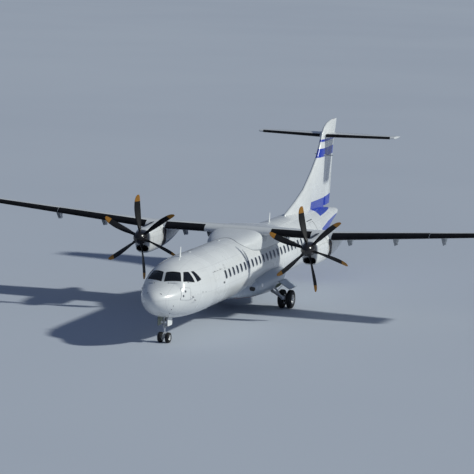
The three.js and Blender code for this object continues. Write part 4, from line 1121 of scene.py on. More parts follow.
def rudder():
    part = Part()
    banded(part, rudder_ring, RUDDER_FOOT, RUDDER_HEAD, 34, BAND_EDGES)
    part.rod(*((0, rudder_nose(z)[0] - HALF, z) for z in (6.612, 6.6778)), 0.012, 2, 12)
    for side in (1, -1):
        tab = [(side * 0.036, fin_row(z)["trail"] - HALF - 0.235, z) for z in np.linspace(3.6, 4.9, 12)]
        part.tube(tab, 0.004, 3, 6)
    for z in (5.0, 5.5, 6.1):
        trail = fin_row(z)["trail"] - HALF
        part.rod((0, trail - 0.01, z), (0, trail + 0.13, z), 0.004, 2, 6)
    part.build("rudder_leaf", "rudder blue steel seal", body="rudder", replaces=["rudder"])


ELEVATOR = (0.23, 3.42, 0.64)  # inner end, outer end, share of the chord at its hinge


def tailplane():
    part = Part()
    low, high, cut = ELEVATOR
    part.grid([foil_ring(tail_at(x)) for x in np.linspace(-low, low, 3)], 0)
    for _, side in SIDES:
        fixed_skin(part, tail_at, side, low, high, cut, 0.5)
        fixed_skin(part, tail_at, side, high, TAIL_TIP, None, 0.2)
        rounded_tip(part, tail_at, side, TAIL_TIP, 0.06, 0.09, 0.2, 8)
        boot(part, tail_at, side, 0.16, 3.40, 0.15)
    part.build("tailplane_panel", "wing boot", replaces=["tailplane"])
    for name, side in SIDES:
        part = Part()
        leaf(part, tail_at, side, low + SLOT, high - SLOT, cut, 0.5)
        end_pins(part, tail_at, side, low, high, cut, 1)
        part.tube([foil(tail_at(side * x), 0.9, True, 0.0005) for x in spread(0.4, 2.0, 0.2)], 0.004, 2, 6)
        wicks(part, tail_at, side, (2.4, 3.0, 3.35), (0, 0.13, 0), 1)
        part.build(f"elevator_{name}_leaf", "surface steel seal", body=f"elevator_{name}",
                   replaces=[f"elevator_{name}"])


ENGINE_X, HUB_Z, PROP_S = 4.05, 3.34, 9.2
PHASE = {"port": -14.2, "starboard": -8.0}  # degrees by which the first blade leans
BLADES = 6
# A blade by radius, all in mm: chord, thickness, pitch in degrees, sweep
BLADE = np.array([[330, 140, 120, 66, 0], [520, 215, 85, 60, 0], [850, 300, 48, 53, -8], [1250, 320, 30, 46, 0],
                  [1600, 285, 20, 41, 30], [1860, 205, 13, 38, 80], [1965, 90, 8, 37, 118]], float)

# A blade's root boot ends, and its coloured tip begins, at these radii in mm
BOOT_END, TIP_START = 1000, 1660


def blade(part, centre, angle):
    """One scimitar blade: rounded leading edge, thin trailing edge, coloured tip and a rubber boot at its root."""
    radii = np.concatenate([np.linspace(330, 1780, 26), np.linspace(1815, 1950, 7), [1965]])
    at, sizes = BLADE[:, 0], BLADE[:, 1:]
    rows = between(at, sizes, slopes(at, sizes), radii)
    c, s = math.cos(angle), math.sin(angle)
    rings = []
    for r, (chord, thick, pitch, sweep) in zip(radii, rows):
        turn = math.radians(pitch)
        ring = []
        for a in circle(24):
            u = math.cos(a)
            along = chord / 2 * u - sweep
            up = thick / 2 * math.sin(a) * (0.62 + 0.38 * u if r > 450 else 1.0) * 1.15
            side = along * math.cos(turn) - up * math.sin(turn)
            fore = along * math.sin(turn) + up * math.cos(turn)
            ring.append((centre[0] + (r * s - side * c) / 1000, centre[1] - fore / 1000,
                         centre[2] + (r * c + side * s) / 1000))
        rings.append(ring)

    def colour(i, k):
        if radii[i] > TIP_START:
            return 1
        return 2 if radii[i] < BOOT_END and (k < 3 or k > 20) else 0
    part.grid(rings, ring_mat=colour)
    part.lathe([(0.068, 0.10), (0.068, 0.33), (0.075, 0.335), (0.075, 0.36), (0.066, 0.375)], centre, (s, 0, c), 3, 20)


def nacelle(name, centre):
    cowl, intake = Sections(COWL_ROWS, centre), Sections(INTAKE_ROWS, centre)
    lip = {9.46: -0.050, 9.466: -0.030, 9.48: -0.014, 9.505: -0.003}
    looks = "cowl dark burnt"
    places = sorted(set(stations(9.53, 14.45, 0.12, cowl.s)) | set(lip))
    body = Part().grid(cowl.loft(places, 96, lambda s: lip.get(round(float(s), 4), 0.0)))
    obj = body.build(f"nacelle_{name}_cowl", looks, replaces=[f"nacelle_{name}"])
    duct = Part().grid(intake.loft(stations(9.41, 10.16, 0.1), 48), 1)
    shaft_hole = Part().lathe([(0.13, 0), (0.13, 0.3)], (centre, 9.44 - HALF, HUB_Z), (0, 1, 0), 1, 40)
    carve(obj, looks, [duct, shaft_hole])
    trim = Part()
    edge = ((9.462, 0.002), (9.452, 0.010), (9.452, 0.020), (9.47, 0.030), (9.462, 0.002))
    trim.grid([intake.point(s, circle(48), off) for s, off in edge], 0, caps=False)
    band = ((10.75, 0.0015), (10.778, 0.0015), (10.778, -0.002), (10.75, -0.002), (10.75, 0.0015))
    trim.grid([cowl.point(s, circle(96), off) for s, off in band], 1, caps=False)
    for face in (1, -1):
        outline_strip(trim, cowl, face, (9.75, 10.66), (2.86, 3.52), 0.05, 0.008, 3)
    # dark blue patch along the top: a painted shadow of a propeller blade
    pane(trim, cowl.point, rounded(1.25, 0.42, 0.08, 5) + (10.55, 1.86), 0.004, 0.008, 4, rings=4)
    # exhaust outlet on the port side: burnt lip and three vanes on a dark blue patch, part shroud and part painted
    # shade
    flank = on_side(cowl, 1)
    shroud, mouth = rounded(0.46, 0.86, 0.20, 8) + (11.05, 3.18), rounded(0.30, 0.62, 0.14, 8) + (11.07, 3.17)
    pane(trim, flank, shroud, 0.004, 0.008, 4, rings=4)
    rim(trim, flank, mouth, (mouth - mouth.mean(0)) * (1.16, 1.08) + mouth.mean(0), 0.022, 0.03, 2)
    for z in (3.02, 3.17, 3.32):
        pane(trim, flank, rounded(0.26, 0.02, 0.008, 3) + (11.07, z), 0.012, 0.01, 2, rings=1)
    trim.build(f"nacelle_{name}_trim", "bare seal burnt grey shroud")


def propeller(name, centre):
    hub = (centre, PROP_S - HALF, HUB_Z)
    phase = math.radians(PHASE[name])
    prop = Part()
    for k in range(BLADES):
        blade(prop, hub, phase + k * math.pi / 3)
    prop.lathe([(0.15, -0.15), (0.15, 0.15), (0.09, 0.15), (0.09, 0.2545)], hub, (0, 1, 0), 3, 32)
    prop.build(f"propeller_{name}_blades", "blade tip boot dark", body=f"propeller_{name}",
               replaces=[f"propeller_{name}"])
    spin = Part()
    cone = [(0.5, -480), (32, -474), (88, -458), (135, -430), (190, -380), (236, -315), (270, -245), (297, -150),
            (309, -60), (314, 60), (315, 150), (300, 195), (292, 235), (100, 235)]
    spin.lathe([(r / 1000, s / 1000) for r, s in cone], hub, (0, 1, 0), 0, 64)
    ring = [(0.3165, 0.150), (0.3175, 0.156), (0.3175, 0.186), (0.309, 0.192), (0.295, 0.16)]
    spin.lathe(ring, hub, (0, 1, 0), 1, 64)
    for k in range(2 * BLADES):
        t = phase + (k + 0.25) * math.pi / 6
        bolt = np.array(hub) + (0.303 * math.sin(t), -0.105, 0.303 * math.cos(t))
        spin.lathe([(0.008, -0.004), (0.008, 0.009), (0.004, 0.011)], bolt, (math.sin(t), -0.1, math.cos(t)), 1, 8)
    spin.build(f"spinner_{name}_cone", "spinner dark", body=f"propeller_{name}", replaces=[f"spinner_{name}"])


wing_centre()
for port_or_not, side_sign in SIDES:
    wing_panel(port_or_not, side_sign)
surfaces()
flap_fairings()
fin()
rudder()
tailplane()
for port_or_not, side_sign in SIDES:
    nacelle(port_or_not, side_sign * ENGINE_X)
    propeller(port_or_not, side_sign * ENGINE_X)

# Each axle's y and z, and its wheels' tyre radius, half width, rim radius and bore radius
MAIN_AXLE, MAIN_WHEEL = (-1.113, 0.432), (0.432, 0.125, 0.205, 0.05)
NOSE_AXLE, NOSE_WHEEL = (-11.883, 0.225), (0.225, 0.09, 0.112, 0.025)
MAIN_X, LEG_S = 2.05, 11.93  # how far out a main leg's foot stands, and its station
WELL_ROOF, NOSE_ROOF = 1.1995, 1.3995  # tops of the legs, just below the roofs of their wells


def around(centre, radius, angle):
    """A point on a circle round a wheel's centre."""
    return np.array(centre) + (0, radius * math.cos(angle), radius * math.sin(angle))


def wheel(name, centre, size, out, body, bolts):
    """A tyre with four grooves and wear lines, and an alloy wheel with vent holes, tie bolts and a hub cap on its
    outer face. out is the side that faces away from the leg."""
    radius, half, seat, bore = size
    wall, deep, cut = radius - seat, radius * 0.02, half * 0.05
    side = [(seat + 0.002, -0.80), (seat + 0.012, -0.90), (seat + 0.3 * wall, -0.985), (seat + 0.55 * wall, -1.0),
            (seat + 0.78 * wall, -0.93), (seat + 0.91 * wall, -0.80), (seat + 0.975 * wall, -0.62),
            (radius - 0.0006, -0.47)]
    left = [(r, a * half) for r, a in side]
    tread = []
    for middle in (-0.36 * half, -0.12 * half, 0.12 * half, 0.36 * half):
        tread += [(radius, middle - cut * 1.3), (radius - deep, middle - cut), (radius - deep, middle + cut),
                  (radius, middle + cut * 1.3)]
    tyre = Part().lathe(left + tread + [(r, -a) for r, a in reversed(left)], centre, (1, 0, 0), 0, 72, closed=True)
    wear = [(0.42, 1.0), (0.47, 1.012), (0.52, 1.0), (0.52, 0.97), (0.42, 0.97)]
    for sign in (1, -1):
        tyre.lathe([(seat + r * wall, a * half * sign) for r, a in wear], centre, (1, 0, 0), 0, 72, closed=True)
    tyre.build(f"tyre_{name}_tread", "tyre", body=body, replaces=[f"tyre_{name}"], slot="tyre")
    k = seat
    # from the bore over the outer face and both bead seats to the inner face: (radius, share of the half width)
    rows = [(bore + 0.0025, -0.90), (0.42 * k, -0.90), (0.44 * k, -0.30), (0.80 * k, -0.12), (0.90 * k, -0.30),
            (0.915 * k, -0.80), (0.985 * k, -0.84), (1.07 * k, -0.90), (1.10 * k, -0.85), (1.08 * k, -0.78),
            (1.0 * k, -0.74), (0.98 * k, 0.0), (1.0 * k, 0.74), (1.08 * k, 0.78), (1.10 * k, 0.85), (1.07 * k, 0.90),
            (0.985 * k, 0.84), (0.915 * k, 0.80), (0.90 * k, 0.38), (0.80 * k, 0.26), (0.50 * k, 0.34),
            (0.42 * k, 0.52), (0.40 * k, 0.90), (bore + 0.0025, 0.90)]
    disc = Part().lathe([(r, a * half * out) for r, a in rows], centre, (1, 0, 0), 0, 64, closed=True)
    obj = disc.build(f"rim_{name}_alloy", "rim dark", body=body, replaces=[f"rim_{name}"], slot="wheel_alloy")
    holes, cap = Part(), Part()

    def x(share):
        return out * half * share, 0, 0
    cap.lathe([(0.002, 1.03 * half), (0.20 * k, 1.02 * half), (0.30 * k, 0.98 * half), (0.36 * k, 0.90 * half),
               (0.36 * k, 0.88 * half), (0.002, 0.88 * half)], centre, (out, 0, 0), 0, 32)
    for i in range(bolts):
        p = around(centre, 0.65 * k, 2 * math.pi * (i + 0.5) / bolts)
        holes.rod(p - (half, 0, 0), p + (half, 0, 0), 0.085 * k, 1, 16)
        a = 2 * math.pi * i / bolts
        p = around(centre, 0.70 * k, a)
        cap.rod(p + x(0.20), p + x(0.36), 0.035 * k, 1, 6)
        cap.rod(p + x(0.36), p + x(0.42), 0.02 * k, 1, 10)
        p = around(centre, 0.27 * k, a + math.pi / bolts)
        cap.rod(p + x(0.94), p + x(1.0), 0.018 * k, 1, 6)
    carve(obj, "rim dark", [holes])
    valve = around(centre, 0.83 * k, 0.4)
    cap.rod(valve + x(0.25), valve + x(0.55), 0.006, 1, 8)
    cap.build(f"rim_{name}_cap", "rim steel", body=body, slot="wheel_alloy")


def door_plate(door, place, size, middle, lining, deep, edge, edge_off):
    """A gear door's plate with a lining and a rubber edge, whose inner outlines are shares of its size."""
    flat = rounded(*size, 0.07)
    pane(door, place, flat + middle, 0.0, 0.012, 0, rings=3)
    pane(door, place, flat * lining + middle, -0.0125, deep, 1, rings=2)
    rim(door, place, flat * edge + middle, flat + middle, edge_off, 0.014, 2)


def main_leg(name, side):
    y, z = MAIN_AXLE
    s = LEG_S - HALF
    foot, knee = np.array((side * 1.10, s, 1.08)), np.array((side * MAIN_X, s, 0.56))
    hub, damper = np.array((side * MAIN_X, y, z)), np.array((side * 1.50, s, 1.16))
    leg = Part()
    # strut with a flange at its top and near its middle
    leg.stepped(foot, knee, [(0, 0.06), (0, 0.085), (0.10, 0.085), (0.13, 0.072), (0.45, 0.068), (0.47, 0.078),
                             (0.50, 0.078), (0.52, 0.066), (0.86, 0.066), (0.92, 0.080), (1, 0.080), (1, 0.05)], 0)
    # knee joint with its pin and nuts
    leg.pin(knee, 0.075, 0.09, 0, 36, 0.008)
    for sign in (1, -1):
        leg.rod(knee + (sign * 0.073, 0, 0), knee + (sign * 0.088, 0, 0), 0.035, 2, 6)
        leg.rod(knee + (sign * 0.088, 0, 0), knee + (sign * 0.096, 0, 0), 0.018, 2, 12)
    # trailing arm, a tapered forging
    arm = [(0, 0.07), (0.12, 0.060), (0.30, 0.052), (0.65, 0.050), (0.84, 0.058), (1, 0.066), (1, 0.03)]
    leg.stepped(knee, hub, arm, 0)
    leg.pin(hub, 0.045, 0.078, 0, 36, 0.008)
    # damper: painted cylinder, chrome piston and the piston's eye
    leg.stepped(damper, knee, [(0, 0.03), (0, 0.050), (0.06, 0.052), (0.09, 0.046), (0.50, 0.046), (0.505, 0.052),
                               (0.56, 0.052), (0.565, 0.03)], 0)
    leg.stepped(damper, knee, [(0.55, 0.028), (0.94, 0.028)], 1)
    leg.stepped(damper, knee, [(0.87, 0.03), (0.875, 0.046), (0.96, 0.046), (0.965, 0.03)], 0)
    # trunnion castings under the well's roof, with their bolts
    leg.box((side * 1.0205, s - 0.11, 0.97), (side * 1.20, s + 0.11, WELL_ROOF), 0)
    leg.box((side * 1.40, s - 0.08, 1.12), (side * 1.60, s + 0.08, WELL_ROOF), 0)
    for dy in (-0.085, 0.085):
        for dx in (1.06, 1.16):
            leg.rod((side * dx, s + dy, 0.955), (side * dx, s + dy, 0.972), 0.014, 2, 6)
    # axle with brake packs, their pistons and brake lines
    leg.pin(hub, 0.31, 0.047, 2, 32, 0.004)
    pack = [(0.055, 0.048), (0.148, 0.048), (0.150, 0.052), (0.150, 0.060), (0.140, 0.061), (0.140, 0.064),
            (0.150, 0.065), (0.150, 0.073), (0.140, 0.074), (0.140, 0.077), (0.150, 0.078), (0.149, 0.085),
            (0.055, 0.086)]
    for sign in (1, -1):
        leg.lathe(pack, hub, (sign, 0, 0), 3, 48)
        for i in range(7):
            p = around(hub, 0.115, 2 * math.pi * i / 7)
            leg.rod(p + (sign * 0.034, 0, 0), p + (sign * 0.049, 0, 0), 0.018, 2, 12)
        start = hub + (sign * 0.038, -0.10, 0.06)
        bends = ((0, 0, -0.02), (0.004, -0.05, 0.05), (0.01, -0.17, 0.085), (0.02, -0.30, 0.10))
        line = [start + (-sign * x, y, z) for x, y, z in bends]
        leg.tube([*line, knee + (sign * 0.03, 0.06, 0.098)], 0.009, 4, 8)
    # hose down the strut, held by three clamps
    bends = ((0.05, -0.09, -0.02), (0.30, -0.088, -0.16), (0.60, -0.086, -0.325), (0.86, -0.088, -0.465))
    hose = [foot + (side * x, y, z) for x, y, z in bends]
    leg.tube([*hose, knee + (side * -0.02, -0.098, 0.0), knee + (0, -0.02, -0.098)], 0.010, 4, 8)
    for share in (0.2, 0.45, 0.7):
        p = foot + (knee - foot) * share
        leg.stepped(p - (knee - foot) * 0.012, p + (knee - foot) * 0.012,
                    [(0, 0.05), (0, 0.082), (1, 0.082), (1, 0.05)], 2)
    # link that holds the door open
    leg.rod(foot + (knee - foot) * 0.62 + (0, 0.06, 0.06), (side * 1.99, s + 0.20, 1.165), 0.012, 2, 12)
    leg.build(f"main_leg_{name}_strut", "steel chrome bare dark hose", replaces=[f"main_leg_{name}"], bevel=0.004,
              slot="gear_steel")
    for kind, across, out in (("inner", 1.845, -side), ("outer", 2.255, side)):
        wheel(f"main_{name}_{kind}", (side * across, *MAIN_AXLE), MAIN_WHEEL, out, f"main_wheels_{name}", 9)


def main_door(name, side):
    """The main gear's door: a sloping plate with stiffeners and two hinge arms."""
    door = Part()
    top, low = np.array((1.845, 1.309)), np.array((2.389, 0.985))
    run = float(np.linalg.norm(low - top))
    along = (low - top) / run
    across = np.array((along[1], -along[0]))

    def plate(u, v, off):
        """u runs aft, v runs down the door and off stands out from its outer face."""
        u, v, off = np.broadcast_arrays(u, v, off)
        p = top + along * v[..., None] - across * off[..., None]
        return np.stack([side * p[..., 0], u - HALF, p[..., 1]], -1)
    door_plate(door, plate, (1.11, run), (12.43, run / 2), (0.965, 0.94), 0.008, (0.985, 0.97), 0.0015)
    for u in np.linspace(12.05, 12.81, 4):
        corners = ((-0.015, -0.018), (0.015, -0.018), (0.015, -0.036), (-0.015, -0.036))
        door.grid([[plate(u + du, v, off) for du, off in corners] for v in (0.04, run - 0.05)], 1)
    for u in (12.10, 12.76):
        door.rod(plate(u, 0.06, -0.02), (side * 1.80, u - HALF, 1.285), 0.016, 3, 12)
        door.rod(plate(u - 0.03, -0.005, -0.012), plate(u + 0.03, -0.005, -0.012), 0.013, 3, 16)
    door.build(f"gear_door_main_{name}_plate", "belly bay seal steel", replaces=[f"gear_door_main_{name}"],
               slot="belly_grey")


def nose_leg():
    y = NOSE_AXLE[0]
    leg = Part()
    leg.stepped((0, y, 0.6205), (0, y, NOSE_ROOF),
                [(0, 0.052), (0, 0.070), (0.05, 0.074), (0.09, 0.074), (0.10, 0.066), (0.14, 0.066), (0.15, 0.070),
                 (0.60, 0.066), (0.62, 0.070), (1, 0.070), (1, 0.03)], 0)
    # steering collar and its two actuators
    collar = [(0.06, 0.70), (0.088, 0.70), (0.092, 0.705), (0.092, 0.755), (0.088, 0.76), (0.06, 0.76)]
    leg.lathe(collar, (0, y, 0), (0, 0, 1), 0, 36)
    housing = [(0.002, -0.045), (0.03, -0.04), (0.052, -0.012), (0.054, 0.012), (0.050, 0.014), (0.050, 0.006)]
    lens = [(0.002, 0.012), (0.030, 0.010), (0.050, 0.002), (0.050, -0.006), (0.002, -0.006)]
    for side in (1, -1):
        x = side * 0.095
        leg.rod((x, y - 0.07, 0.73), (x, y + 0.10, 0.73), 0.024, 0, round_ends=0.004)
        leg.rod((x, y - 0.12, 0.73), (x, y - 0.07, 0.73), 0.013, 1, 16)
        # landing or taxi lamp
        for profile, m in ((housing, 2), (lens, 5)):
            leg.lathe(profile, (side * 0.082, y - 0.095, 0.90), (0, -1, 0), m, 28)
    leg.box((-0.10, y - 0.075, 0.885), (0.10, y - 0.06, 0.915), 0)
    leg.box((-0.15, y - 0.06, 1.31), (0.15, y + 0.06, NOSE_ROOF), 0)
    for side in (1, -1):
        leg.rod((side * 0.15, y, 1.355), (side * 0.17, y, 1.355), 0.035, 2, 24, round_ends=0.004)
    # drag brace with its eye and folding joint
    low, high = np.array((0, y + 0.06, 0.76)), np.array((0, y + 0.29, 1.34))
    leg.stepped(low, high, [(0, 0.02), (0, 0.036), (0.08, 0.036), (0.10, 0.026), (0.46, 0.026), (0.47, 0.034),
                            (0.56, 0.034), (0.57, 0.026), (0.92, 0.026), (1, 0.034)], 0)
    leg.pin((low + high) / 2, 0.045, 0.022, 2, 20, 0.003)
    leg.box((-0.06, y + 0.24, 1.28), (0.06, y + 0.34, NOSE_ROOF), 0)
    # hydraulic and electric lines down the leg's front
    hydraulic = ((0.05, -0.055, 1.30), (0.062, -0.075, 1.15), (0.05, -0.085, 0.98), (0.045, -0.075, 0.80))
    electric = ((-0.05, -0.055, 1.30), (-0.062, -0.075, 1.12), (-0.05, -0.085, 0.97), (-0.045, -0.075, 0.79))
    for line, radius in ((hydraulic, 0.008), (electric, 0.006)):
        leg.tube([(x, y + dy, z) for x, dy, z in line], radius, 4, 8)
    leg.build("nose_leg_strut", "steel chrome bare dark hose lamp", replaces=["nose_leg"], bevel=0.003,
              slot="gear_steel")


def nose_fork():
    """The steering knuckle with its piston, axle and torque links."""
    y, z = NOSE_AXLE
    fork = Part()
    fork.stepped((0, y, 0.33), (0, y, 0.6195), [(0, 0.03), (0, 0.043), (1, 0.043), (1, 0.02)], 1)
    fork.stepped((0, y, z), (0, y, 0.36), [(0, 0.02), (0, 0.050), (0.75, 0.050), (0.85, 0.056), (1, 0.056), (1, 0.03)],
                 0)
    fork.stepped((0, y, 0.425), (0, y, 0.462), [(0, 0.03), (0, 0.054), (1, 0.054), (1, 0.03)], 0)
    fork.pin((0, y, z), 0.06, 0.046, 0, 32, 0.006)
    fork.pin((0, y, z), 0.254, 0.023, 2, 28, 0.003)
    apex = np.array((0, y - 0.155, 0.378))
    link_ends = (0.444, 0.312)
    for side in (1, -1):
        for h in link_ends:
            fork.stepped((side * 0.022, y - 0.04, h), apex + (side * 0.010, 0, 0),
                         [(0, 0.008), (0, 0.012), (0.5, 0.009), (1, 0.010), (1, 0.004)], 0, 12)
    fork.pin(apex, 0.024, 0.013, 2, 16, 0.002)
    for h in link_ends:
        fork.pin((0, y - 0.045, h), 0.034, 0.012, 2, 16, 0.002)
    fork.build("nose_fork_leg", "steel chrome bare", body="nose_steering", replaces=["nose_fork"], slot="gear_steel")


def nose_door(name, side):
    """The nose gear's door on one side: an upright plate with ribs and two hinge arms."""
    door = Part()

    def plate(u, v, off):
        u, v, off = np.broadcast_arrays(u, v, off)
        return np.stack([side * (0.2285 + off), u - HALF, v], -1)
    door_plate(door, plate, (0.588, 0.488), (1.735, 0.985), 0.93, 0.009, 0.975, 0.0008)
    for s in (1.56, 1.735, 1.91):
        door.box((side * 0.2060, s - 0.012 - HALF, 0.80), (side * 0.2150, s + 0.012 - HALF, 1.20), 1)
    for y in (1.53 - HALF, 1.94 - HALF):
        door.rod((side * 0.217, y, 1.15), (side * 0.22, y, 1.29), 0.010, 3, 12)
        door.rod((side * 0.214, y - 0.03, 1.222), (side * 0.214, y + 0.03, 1.222), 0.009, 3, 14)
    door.build(f"gear_door_nose_{name}_plate", "white bay seal steel", replaces=[f"gear_door_nose_{name}"],
               slot="skin_white")


def blade_antenna(part, s, tall, chord, rake, down=False):
    """A thin swept aerial on the crown or keel, on a small oval foot."""
    _, top, _, bottom, _ = SKIN.at(s)
    base, sign = (float(bottom), -1) if down else (float(top), 1)
    rings = []
    for share in (-0.12, 0.0, 0.25, 0.5, 0.75, 0.94, 1.0):
        up = max(share, 0)
        c = chord * (1 - 0.45 * up) * (0.75 if share == 1.0 else 1.0)
        t = 0.16 * c * (0.5 if share == 1.0 else 1.0)
        rings.append([(t / 2 * math.sin(a), s + rake * up + c * (0.5 - 0.5 * math.cos(a)) - HALF,
                       base + sign * share * tall)
                      for a in circle(20)])
    part.grid(rings, 0)
    foot = [(0.001, -0.02), (chord * 0.42, -0.02), (chord * 0.42, 0.004), (chord * 0.30, 0.010), (0.001, 0.012)]
    part.lathe(foot, (0, s + chord * 0.5 - HALF, base), (0, 0, sign), 0, 28)


def probe(part, side, s, z, reach):
    """An air-data tube: a stalk out from the skin that turns forward."""
    root, out = SKIN.side(s, z, side, -0.01), SKIN.side(s, z, side, 0.07)
    part.rod(root, out, 0.011, 2, 12, end=0.009)
    tube = [(0.004, 0), (0.009, 0.02), (0.011, 0.06), (0.011, reach + 0.01), (0.006, reach + 0.02)]
    part.lathe(tube, out + (0, -reach, 0), (0, 1, 0), 2, 16)
    pane(part, on_side(SKIN, side), rounded(0.11, 0.06, 0.028) + (s, z), 0.003, 0.006, 2, rings=2)


def first_outside(a):
    """The station where the wing fairing comes out of the skin at an angle, from the front."""
    for s in np.arange(9.3, 12.0, 0.02):
        x, _, z = SADDLE.point(s, a)
        half, top, wide, low, power = SKIN.at(s)
        reach = top - wide if z > wide else wide - low
        if (abs(x) / half) ** power + (abs(z - wide) / reach) ** power > 1.0:
            return float(s)
    return 12.0


def wiper(part, base, tip):
    """An arm from its spindle to a blade that lies along the pane's lower edge. Both ends are (x, station, z)."""
    base, tip = (np.array(p) - (0, HALF, 0) for p in (base, tip))
    part.rod(SKIN.near(base, -0.01), SKIN.near(base, 0.020), 0.018, 1, 14)
    arm = [SKIN.near(base + (tip - base) * k, 0.018) for k in np.linspace(0, 0.82, 6)]
    part.tube(arm, 0.007, 0, 8)
    edge = [SKIN.near(base + (tip - base) * k + (0, -0.004, -0.010), 0.010) for k in np.linspace(0.18, 1, 8)]
    part.tube(edge, 0.009, 0, 8)


def on_skin(part, p, profile, m, sides):
    """A turned fitting that stands on the skin beside a point (x, station, z)."""
    p = np.array(p) - (0, HALF, 0)
    foot = SKIN.near(p)
    part.lathe(profile, foot, SKIN.near(p, 1.0) - foot, m, sides)


def antennas():
    mast = Part()
    blade_antenna(mast, 3.40, 0.43, 0.17, 0.10)
    blade_antenna(mast, 15.82, 0.43, 0.17, 0.10)
    blade_antenna(mast, 6.9, 0.24, 0.20, 0.08, down=True)
    dome = [(0.001, -0.02), (0.085, -0.02), (0.08, 0.006), (0.055, 0.022), (0.001, 0.028)]
    for s, x in ((4.80, -0.05), (8.76, -0.09)):
        mast.lathe(dome, SKIN.point(s, math.pi / 2) + (x, 0, 0), (0, 0, 1), 0, 28)
    # anti-collision lamp under the belly: its foot and its lens
    keel = BELLY.point(13.9, -math.pi / 2)
    mast.lathe([(0.001, -0.02), (0.06, -0.02), (0.06, 0.012), (0.05, 0.018)], keel, (0, 0, -1), 1, 28)
    mast.lathe([(0.048, 0.010), (0.048, 0.045), (0.036, 0.066), (0.001, 0.072)], keel, (0, 0, -1), 2, 28)
    mast.build("antennas", "white steel red")


# Angle of the wing fairing's lower edge below the level of its axis, and of the seam along the belly fairing
SADDLE_EDGE, BELLY_SEAM = math.radians(-14), math.radians(-58)


def nose_fittings():
    small = Part()
    # sensor plate on each side of the nose with its two vanes
    corners = [(0.789, 1.372, 2.479), (1.067, 1.861, 2.428), (1.080, 1.858, 1.908), (0.887, 1.136, 2.003)]
    inner, outer = denser(pane_outline(corners, 0.012), pane_outline(corners, -0.002), 0.08)
    vane = [(0.001, 0.0), (0.052, 0.0), (0.052, 0.006), (0.030, 0.010), (0.016, 0.030), (0.001, 0.034)]
    for _, side in SIDES:
        place = pane_grid(corners, side)
        pane(small, place, outer, 0.006, 0.008, 0, rings=9)
        rim(small, place, inner, outer, 0.0085, 0.008, 3)
        for x, s, z in ((0.988, 1.524, 2.320), (0.962, 1.357, 2.148)):
            on_skin(small, (side * x, s, z), vane, 1, 20)
        # static ports
        for s, z, r in ((0.363, 2.334, 0.022), (2.869, 2.122, 0.030), (3.15, 2.10, 0.022)):
            pane(small, on_side(SKIN, side), rounded(2 * r, 2 * r, r * 0.98) + (s, z), 0.002, 0.004, 1, rings=1)
        probe(small, side, 2.05, 2.02, 0.16)
        probe(small, side, 2.25, 1.86, 0.12)
    for p, r in (((0.714, 0.818, 1.779), 0.024), ((0.628, 0.815, 1.622), 0.026), ((0.493, 0.947, 1.418), 0.024)):
        on_skin(small, p, [(0.001, -0.004), (r, -0.004), (r, 0.004), (r * 0.6, 0.012), (0.001, 0.014)], 1, 16)
    # short temperature probe under the nose
    q = SKIN.near((0.40, 1.10 - HALF, 1.24))
    small.rod(q + (0, 0, 0.03), q + (0, 0.02, -0.13), 0.012, 1, 12, end=0.007)
    for base, tip in (((-0.334, 1.259, 2.627), (-0.70, 1.43, 2.66)), ((0.285, 1.310, 2.658), (0.66, 1.45, 2.675)),
                      ((0.969, 1.864, 2.663), (1.07, 2.12, 2.62))):
        wiper(small, base, tip)
    # rain gutter over the passenger door
    small.tube([SKIN.side(s, 3.185, 1, 0.012) for s in np.linspace(19.12, 20.02, 12)], 0.022, 1, 10)
    # service panels
    for _, side in SIDES:
        for s, z in ((3.55, 1.18), (17.3, 1.15)):
            outline_strip(small, SKIN, side, (s - 0.2, s + 0.2), (z - 0.11, z + 0.11), 0.03, 0.008, 3)
    # seam round the front and both sides of the wing fairing
    front = np.linspace(SADDLE_EDGE, math.pi - SADDLE_EDGE, 90)
    small.tube([SADDLE.point(first_outside(a), a, 0.003) for a in front], 0.011, 3, 8)
    for low in (SADDLE_EDGE, math.pi - SADDLE_EDGE):
        small.tube([SADDLE.point(s, low, 0.003) for s in np.linspace(first_outside(low), 14.4, 40)], 0.009, 3, 8)
    small.build("nose_fittings", "white mark bare grey")


def turned(outline, degrees):
    """An outline turned about its middle, so that its front end moves down for positive degrees."""
    c, s = math.cos(math.radians(degrees)), math.sin(math.radians(degrees))
    return outline @ np.array([[c, s], [-s, c]])


def belly_inlets():
    inlet = Part()
    for _, side in SIDES:
        place, at = on_side(BELLY, side), (9.45, 1.29)
        mouth = turned(rounded(0.42, 0.19, 0.09, 7), -14) + at
        rim(inlet, place, mouth, turned(rounded(0.47, 0.24, 0.115, 7), -14) + at, 0.014, 0.03, 3)
        # the mouth is a black pane: painted shade of the inlet's hole
        pane(inlet, place, mouth, 0.004, 0.008, 0, rings=3)
        # white strip above the inlet: a painted highlight along the fairing's lit front edge
        pane(inlet, place, turned(rounded(0.66, 0.10, 0.045), 20) + (9.58, 1.535), 0.008, 0.02, 1, rings=2)
    # reddish seam along the lower edge of the sponson
    for a in (BELLY_SEAM, math.pi - BELLY_SEAM):
        inlet.tube([BELLY.point(s, a, 0.001) for s in np.linspace(8.9, 15.6, 40)], 0.011, 2, 8)
    inlet.build("belly_inlets", "hose white seam belly")


def lamps():
    lamp = Part()
    # landing lamps in the sponsons' noses
    for _, side in SIDES:
        place, at = on_side(BELLY, side), (10.25, 1.36)
        rim(lamp, place, rounded(0.16, 0.16, 0.079) + at, rounded(0.20, 0.20, 0.099) + at, 0.006, 0.012, 1)
        pane(lamp, place, rounded(0.163, 0.163, 0.08) + at, 0.003, 0.006, 0, rings=3)
    # lamp at the end of the tail cone
    bulb = [(0.03, -0.03), (0.045, -0.02), (0.045, 0.02), (0.03, 0.05), (0.001, 0.06)]
    lamp.lathe(bulb, (0, 27.10 - HALF, 2.796), (0, 1, 0), 0, 24)
    lamp.build("lamps", "lamp bare")


